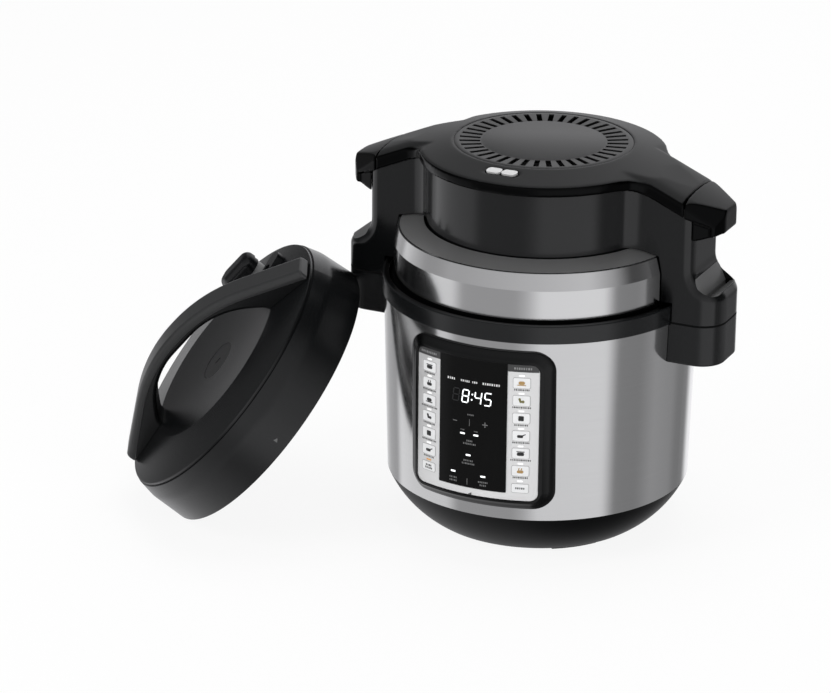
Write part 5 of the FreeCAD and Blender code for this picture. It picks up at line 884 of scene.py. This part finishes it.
light_cap = feed(plain_material("light_cap", coat=0.3), moulding, {
    "Colour": grey(0.62), "Patch Colour": grey(0.6), "Pebble": 900.0, "Roughness": 0.25,
    "Variation": 0.03}, bump=0.02)
light_halves = bmesh.new()
for side in (-1, 1):
    add_plate(light_halves, side * LIGHT_HALF_X, 0.0, *LIGHT_SIZE, LIGHT_CORNER, back=LIGHT_BACK,
              front=LIGHT_FRONT)
for vert in light_halves.verts:
    vert.co = Vector((vert.co.x + vert.co.z * LIGHT_SLANT, vert.co.z, vert.co.y))
bmesh.ops.transform(light_halves, matrix=LIGHT_PLACE, verts=light_halves.verts)
lit_pill = finish_piece("light_halves", light_halves, light_cap, "frying_lid",
                        sharp=50)
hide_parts("indicator_light")
# Painted shade: the seal is made near black with next to no sheen, so the gap between the steel
# ring and the collar reads dark.
painted_shade_seal = plastic("painted_shade_seal", 0.0012, 0.5, specular=0.04)
dress(painted_shade_seal, "lid_seal")


# Caps on the ends of the frying lid's arms. Each is a moulding that covers the arm's nose: satin
# on top like the cover, with glossy slanted sides and rounded edges.
# The caps take the cover's material, with the same painted shade on their sides.
CAP_VOXEL, CAP_ROUNDS = 0.0009, 9
for side in ("right", "left"):
    cap = finish_piece(f"{side}_arm_cap", soft_copy(f"{side}_nose_cap", CAP_VOXEL, CAP_ROUNDS),
                       lid_satin, "frying_lid", sharp=60)
    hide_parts(f"{side}_nose_cap")


# Fan and element parts under the frying lid: a bright pan that throws the heat down, a wire guard,
# a motor with its shaft, a pressed convection fan, and a moulded cooling fan above it.
dress(inner_steel, "heat_pan", "fan_guard", "fan_motor", "convection_fan")
fan_grey = plastic("fan_grey", 0.1, 0.45)
dress(fan_grey, "cooling_fan")


# Pressure lid: a black moulded shell with a raised middle and an arched grip over it, and a small
# pale arrowhead printed on its skirt.
SKIRT_MARK_TURN, SKIRT_MARK_RAD, SKIRT_MARK_Z = -75.0, 0.1478, 0.0125
SKIRT_MARK_SIZE, SKIRT_MARK_DEEP = 0.0026, 0.0008
# The lid's own frame as it leans: along the grip, across it, and out through the dome.
LEAN = Matrix(((0.631392, -0.416037, -0.654414, -0.250815),
               (0.137961, 0.890702, -0.433147, -0.105225),
               (0.763093, 0.183202, 0.619779, 0.116539),
               (0, 0, 0, 1)))

pressure_black = plastic("pressure_black", 0.0035, 0.25)
dress(pressure_black, "pressure_lid_shell", "grip_base", "float_guard", "steam_valve")
hub_black = plastic("hub_black", 0.0012, 0.34)
dress(hub_black, "dome_cap")
grip_satin = plastic("grip_satin", 0.027, 0.3)
dress(grip_satin, "grip_cover")
pedestal_grey = plastic("pedestal_grey", 0.2, 0.35)
dress(pedestal_grey, "valve_pedestal")
mark_grey = plastic("mark_grey", 0.12, 0.5, bump=0.0)
skirt_mark = bmesh.new()
bmesh.ops.create_cone(
    skirt_mark, cap_ends=True, segments=3, radius1=SKIRT_MARK_SIZE, radius2=SKIRT_MARK_SIZE,
    depth=SKIRT_MARK_DEEP, matrix=LEAN @ Matrix.Rotation(math.radians(SKIRT_MARK_TURN), 4, "Z")
    @ Matrix.Translation((SKIRT_MARK_RAD, 0, SKIRT_MARK_Z)) @ Matrix.Rotation(math.pi / 2, 4, "Y"))
finish_piece("skirt_mark", skirt_mark, mark_grey, "pressure_lid")


# Inner side of the pressure lid: a drawn steel plate on one bolt, a wire rack, a silicone ring and
# a filter over the steam pipe.
lid_steel = brushed("lid_steel", level=0.6, streaks=0.55, lines=1500.0, roughness=0.22,
                    variation=0.06, bump=0.04)
dress(lid_steel, "steel_inner_lid", "seal_rack", "steam_filter", "steam_pipe", "float_valve")
silicone = plastic("silicone", 0.55, 0.45, pebble=500.0, bump=0.05)
dress(silicone, "sealing_ring")


# Studio: a white floor, a surround with bright and dark stretches as soft boxes and gaps leave
# them, and soft lamps. The camera sees only white.
FLOOR_RAD, FLOOR_SEGMENTS = 12.0, 64
FLOOR_COLOUR, FLOOR_ROUGHNESS = (0.86, 0.86, 0.86, 1), 0.9
FLOOR_WHITE_SHARE = 0.9
# Each lamp's place, what it is aimed at, its width and height, and its power.
LAMPS = {
    "key_left": ((-1.9, -2.6, 2.1), (0, 0, 0.2), (1.4, 2.2), 52),
    "fill_right": ((2.8, -1.6, 1.3), (0, 0, 0.2), (0.8, 2.0), 24),
    "top": ((0.0, 0.4, 2.6), (0, 0, 0.3), (1.8, 1.8), 30),
    "rim_back": ((-0.6, 2.6, 1.6), (0, 0, 0.3), (2.2, 1.0), 14)}
# The surround's brightness by its turn in degrees, in three bands: level, higher up and low down.
SURROUND = (
    (-180, 1.0), (-165, 1.0), (-150, 0.85), (-130, 0.5), (-112, 0.42), (-105, 0.95), (-85, 0.85),
    (-50, 0.82), (-40, 0.4), (4, 0.4), (13, 0.55), (24, 0.9), (74, 0.92), (84, 0.28), (104, 0.27),
    (120, 0.38), (142, 0.33), (152, 0.24), (168, 0.24), (174, 0.6), (180, 1.0))
SURROUND_HIGH = (
    (-180, 0.85), (-152, 0.85), (-140, 0.14), (-75, 0.12), (-50, 0.45), (20, 0.6), (60, 0.7),
    (80, 0.4), (95, 0.05), (140, 0.06), (155, 0.7), (172, 0.8), (180, 0.85))
SURROUND_FLOOR = (
    (-180, 0.5), (-130, 0.85), (-70, 0.85), (0, 0.55), (22, 0.2), (60, 0.12), (150, 0.15),
    (180, 0.5))
# Heights of the direction looked in between which the level band fades into the high one, and the
# low one into the level one.
HIGH_BAND, FLOOR_BAND = (-0.18, 0.02), (-0.72, -0.44)
# How bright the surround is from its foot, at 0, to its top, at 1.
HEIGHT_DIMMING = ((0.0, 1.0), (0.6, 1.0), (0.95, 0.5))
SURROUND_BLUE = 1.01
SOFT_GREY = (0.42, 0.42, 0.425, 1)
WHITE = (1, 1, 1, 1)
CAMERA_PLACE = (-0.1233, -3.7331, 1.6097)
CAMERA_TURN, CAMERA_DROP, CAMERA_ROLL = math.radians(25.0), math.radians(21.05), 0.0084
CAMERA_LENS, CAMERA_SENSOR, CAMERA_REACH = 174.54, 36.0, 50.0


def make_floor():
    """Round floor that fades into the surround."""
    floor = bpy.data.objects.new("studio_floor", bpy.data.meshes.new("studio_floor"))
    shape = bmesh.new()
    bmesh.ops.create_circle(shape, cap_ends=True, segments=FLOOR_SEGMENTS, radius=FLOOR_RAD)
    shape.to_mesh(floor.data)
    shape.free()
    bpy.context.scene.collection.objects.link(floor)
    material = plain_material("floor_white", specular=0.0)
    shader_inputs(material)["Base Color"].default_value = FLOOR_COLOUR
    shader_inputs(material)["Roughness"].default_value = FLOOR_ROUGHNESS
    tree = material.node_tree
    paper = tree.nodes.new("ShaderNodeEmission")
    ray = tree.nodes.new("ShaderNodeLightPath")
    mix = tree.nodes.new("ShaderNodeMixShader")
    share = math_node(tree, "MULTIPLY", ray.outputs["Is Camera Ray"], FLOOR_WHITE_SHARE)
    shader = tree.nodes["Principled BSDF"]
    for item, slot in zip((share, shader.outputs[0], paper.outputs[0]), mix.inputs):
        tree.links.new(item, slot)
    tree.links.new(mix.outputs[0], tree.nodes["Material Output"].inputs["Surface"])
    floor.data.materials.append(material)
    floor.visible_glossy = False


def make_lamp(name, place, target, size, power):
    """Soft rectangular lamp aimed at a point."""
    light = bpy.data.lights.new(name, "AREA")
    light.shape = "RECTANGLE"
    light.size, light.size_y = size
    light.energy = power
    lamp = bpy.data.objects.new(name, light)
    lamp.location = place
    lamp.rotation_euler = (Vector(target) - Vector(place)).to_track_quat("-Z", "Y").to_euler()
    lamp.visible_glossy = False
    bpy.context.scene.collection.objects.link(lamp)


def grey_ramp(tree, value, stops):
    """Colour ramp of greys from places and levels, driven by a value."""
    node = tree.nodes.new("ShaderNodeValToRGB")
    marks = node.color_ramp.elements
    marks.remove(marks[1])
    for number, (place, level) in enumerate(stops):
        mark = marks[0] if number == 0 else marks.new(place)
        mark.position = place
        mark.color = (level, level, level * SURROUND_BLUE, 1)
    tree.links.new(value, node.inputs[0])
    return node.outputs[0]


def turn_ramp(tree, turn, stops):
    """Colour ramp of greys round the surround, from turns in degrees and levels."""
    return grey_ramp(tree, turn, [(degrees / 360 + 0.5, level) for degrees, level in stops])


def make_surround():
    """World that is soft grey to matt surfaces, banded to glossy ones and white to the camera."""
    world = bpy.data.worlds.new("surround")
    world.use_nodes = True
    sky = world.node_tree
    aim = sky.nodes.new("ShaderNodeTexCoord")
    split = sky.nodes.new("ShaderNodeSeparateXYZ")
    sky.links.new(aim.outputs["Generated"], split.inputs[0])
    x, y, z = split.outputs
    angle = math_node(sky, "ARCTAN2", x, math_node(sky, "MULTIPLY", y, -1.0))
    turn = math_node(sky, "MULTIPLY_ADD", angle, 0.5 / math.pi, 0.5)
    band = blend_colours(sky, range_node(sky, z, *HIGH_BAND), turn_ramp(sky, turn, SURROUND),
                         turn_ramp(sky, turn, SURROUND_HIGH))
    band = blend_colours(sky, range_node(sky, z, *FLOOR_BAND), turn_ramp(sky, turn, SURROUND_FLOOR),
                         band)
    height = math_node(sky, "MULTIPLY_ADD", z, 0.5, 0.5)
    band = blend_colours(sky, 1.0, band, grey_ramp(sky, height, HEIGHT_DIMMING), "MULTIPLY")
    rays = sky.nodes.new("ShaderNodeLightPath").outputs
    shiny = blend_colours(sky, rays["Is Glossy Ray"], colour_node(sky, SOFT_GREY), band)
    seen = math_node(sky, "MAXIMUM", rays["Is Camera Ray"], rays["Is Transmission Ray"])
    sky.links.new(blend_colours(sky, seen, shiny, colour_node(sky, WHITE)),
                  sky.nodes["Background"].inputs["Color"])
    bpy.context.scene.world = world


make_floor()
for name, (place, target, size, power) in LAMPS.items():
    make_lamp(name, place, target, size, power)
make_surround()
bpy.context.scene.view_settings.view_transform = "Standard"

camera_data = bpy.data.cameras.new("camera")
camera_data.sensor_width = CAMERA_SENSOR
camera_data.lens = CAMERA_LENS
camera_data.clip_end = CAMERA_REACH
camera = bpy.data.objects.new("camera", camera_data)
camera.matrix_world = (
    Matrix.Rotation(CAMERA_TURN, 4, "Z") @ Matrix.Translation(CAMERA_PLACE)
    @ Matrix.Rotation(math.pi / 2 - CAMERA_DROP, 4, "X") @ Matrix.Rotation(CAMERA_ROLL, 4, "Z"))
bpy.context.scene.collection.objects.link(camera)
bpy.context.scene.camera = camera
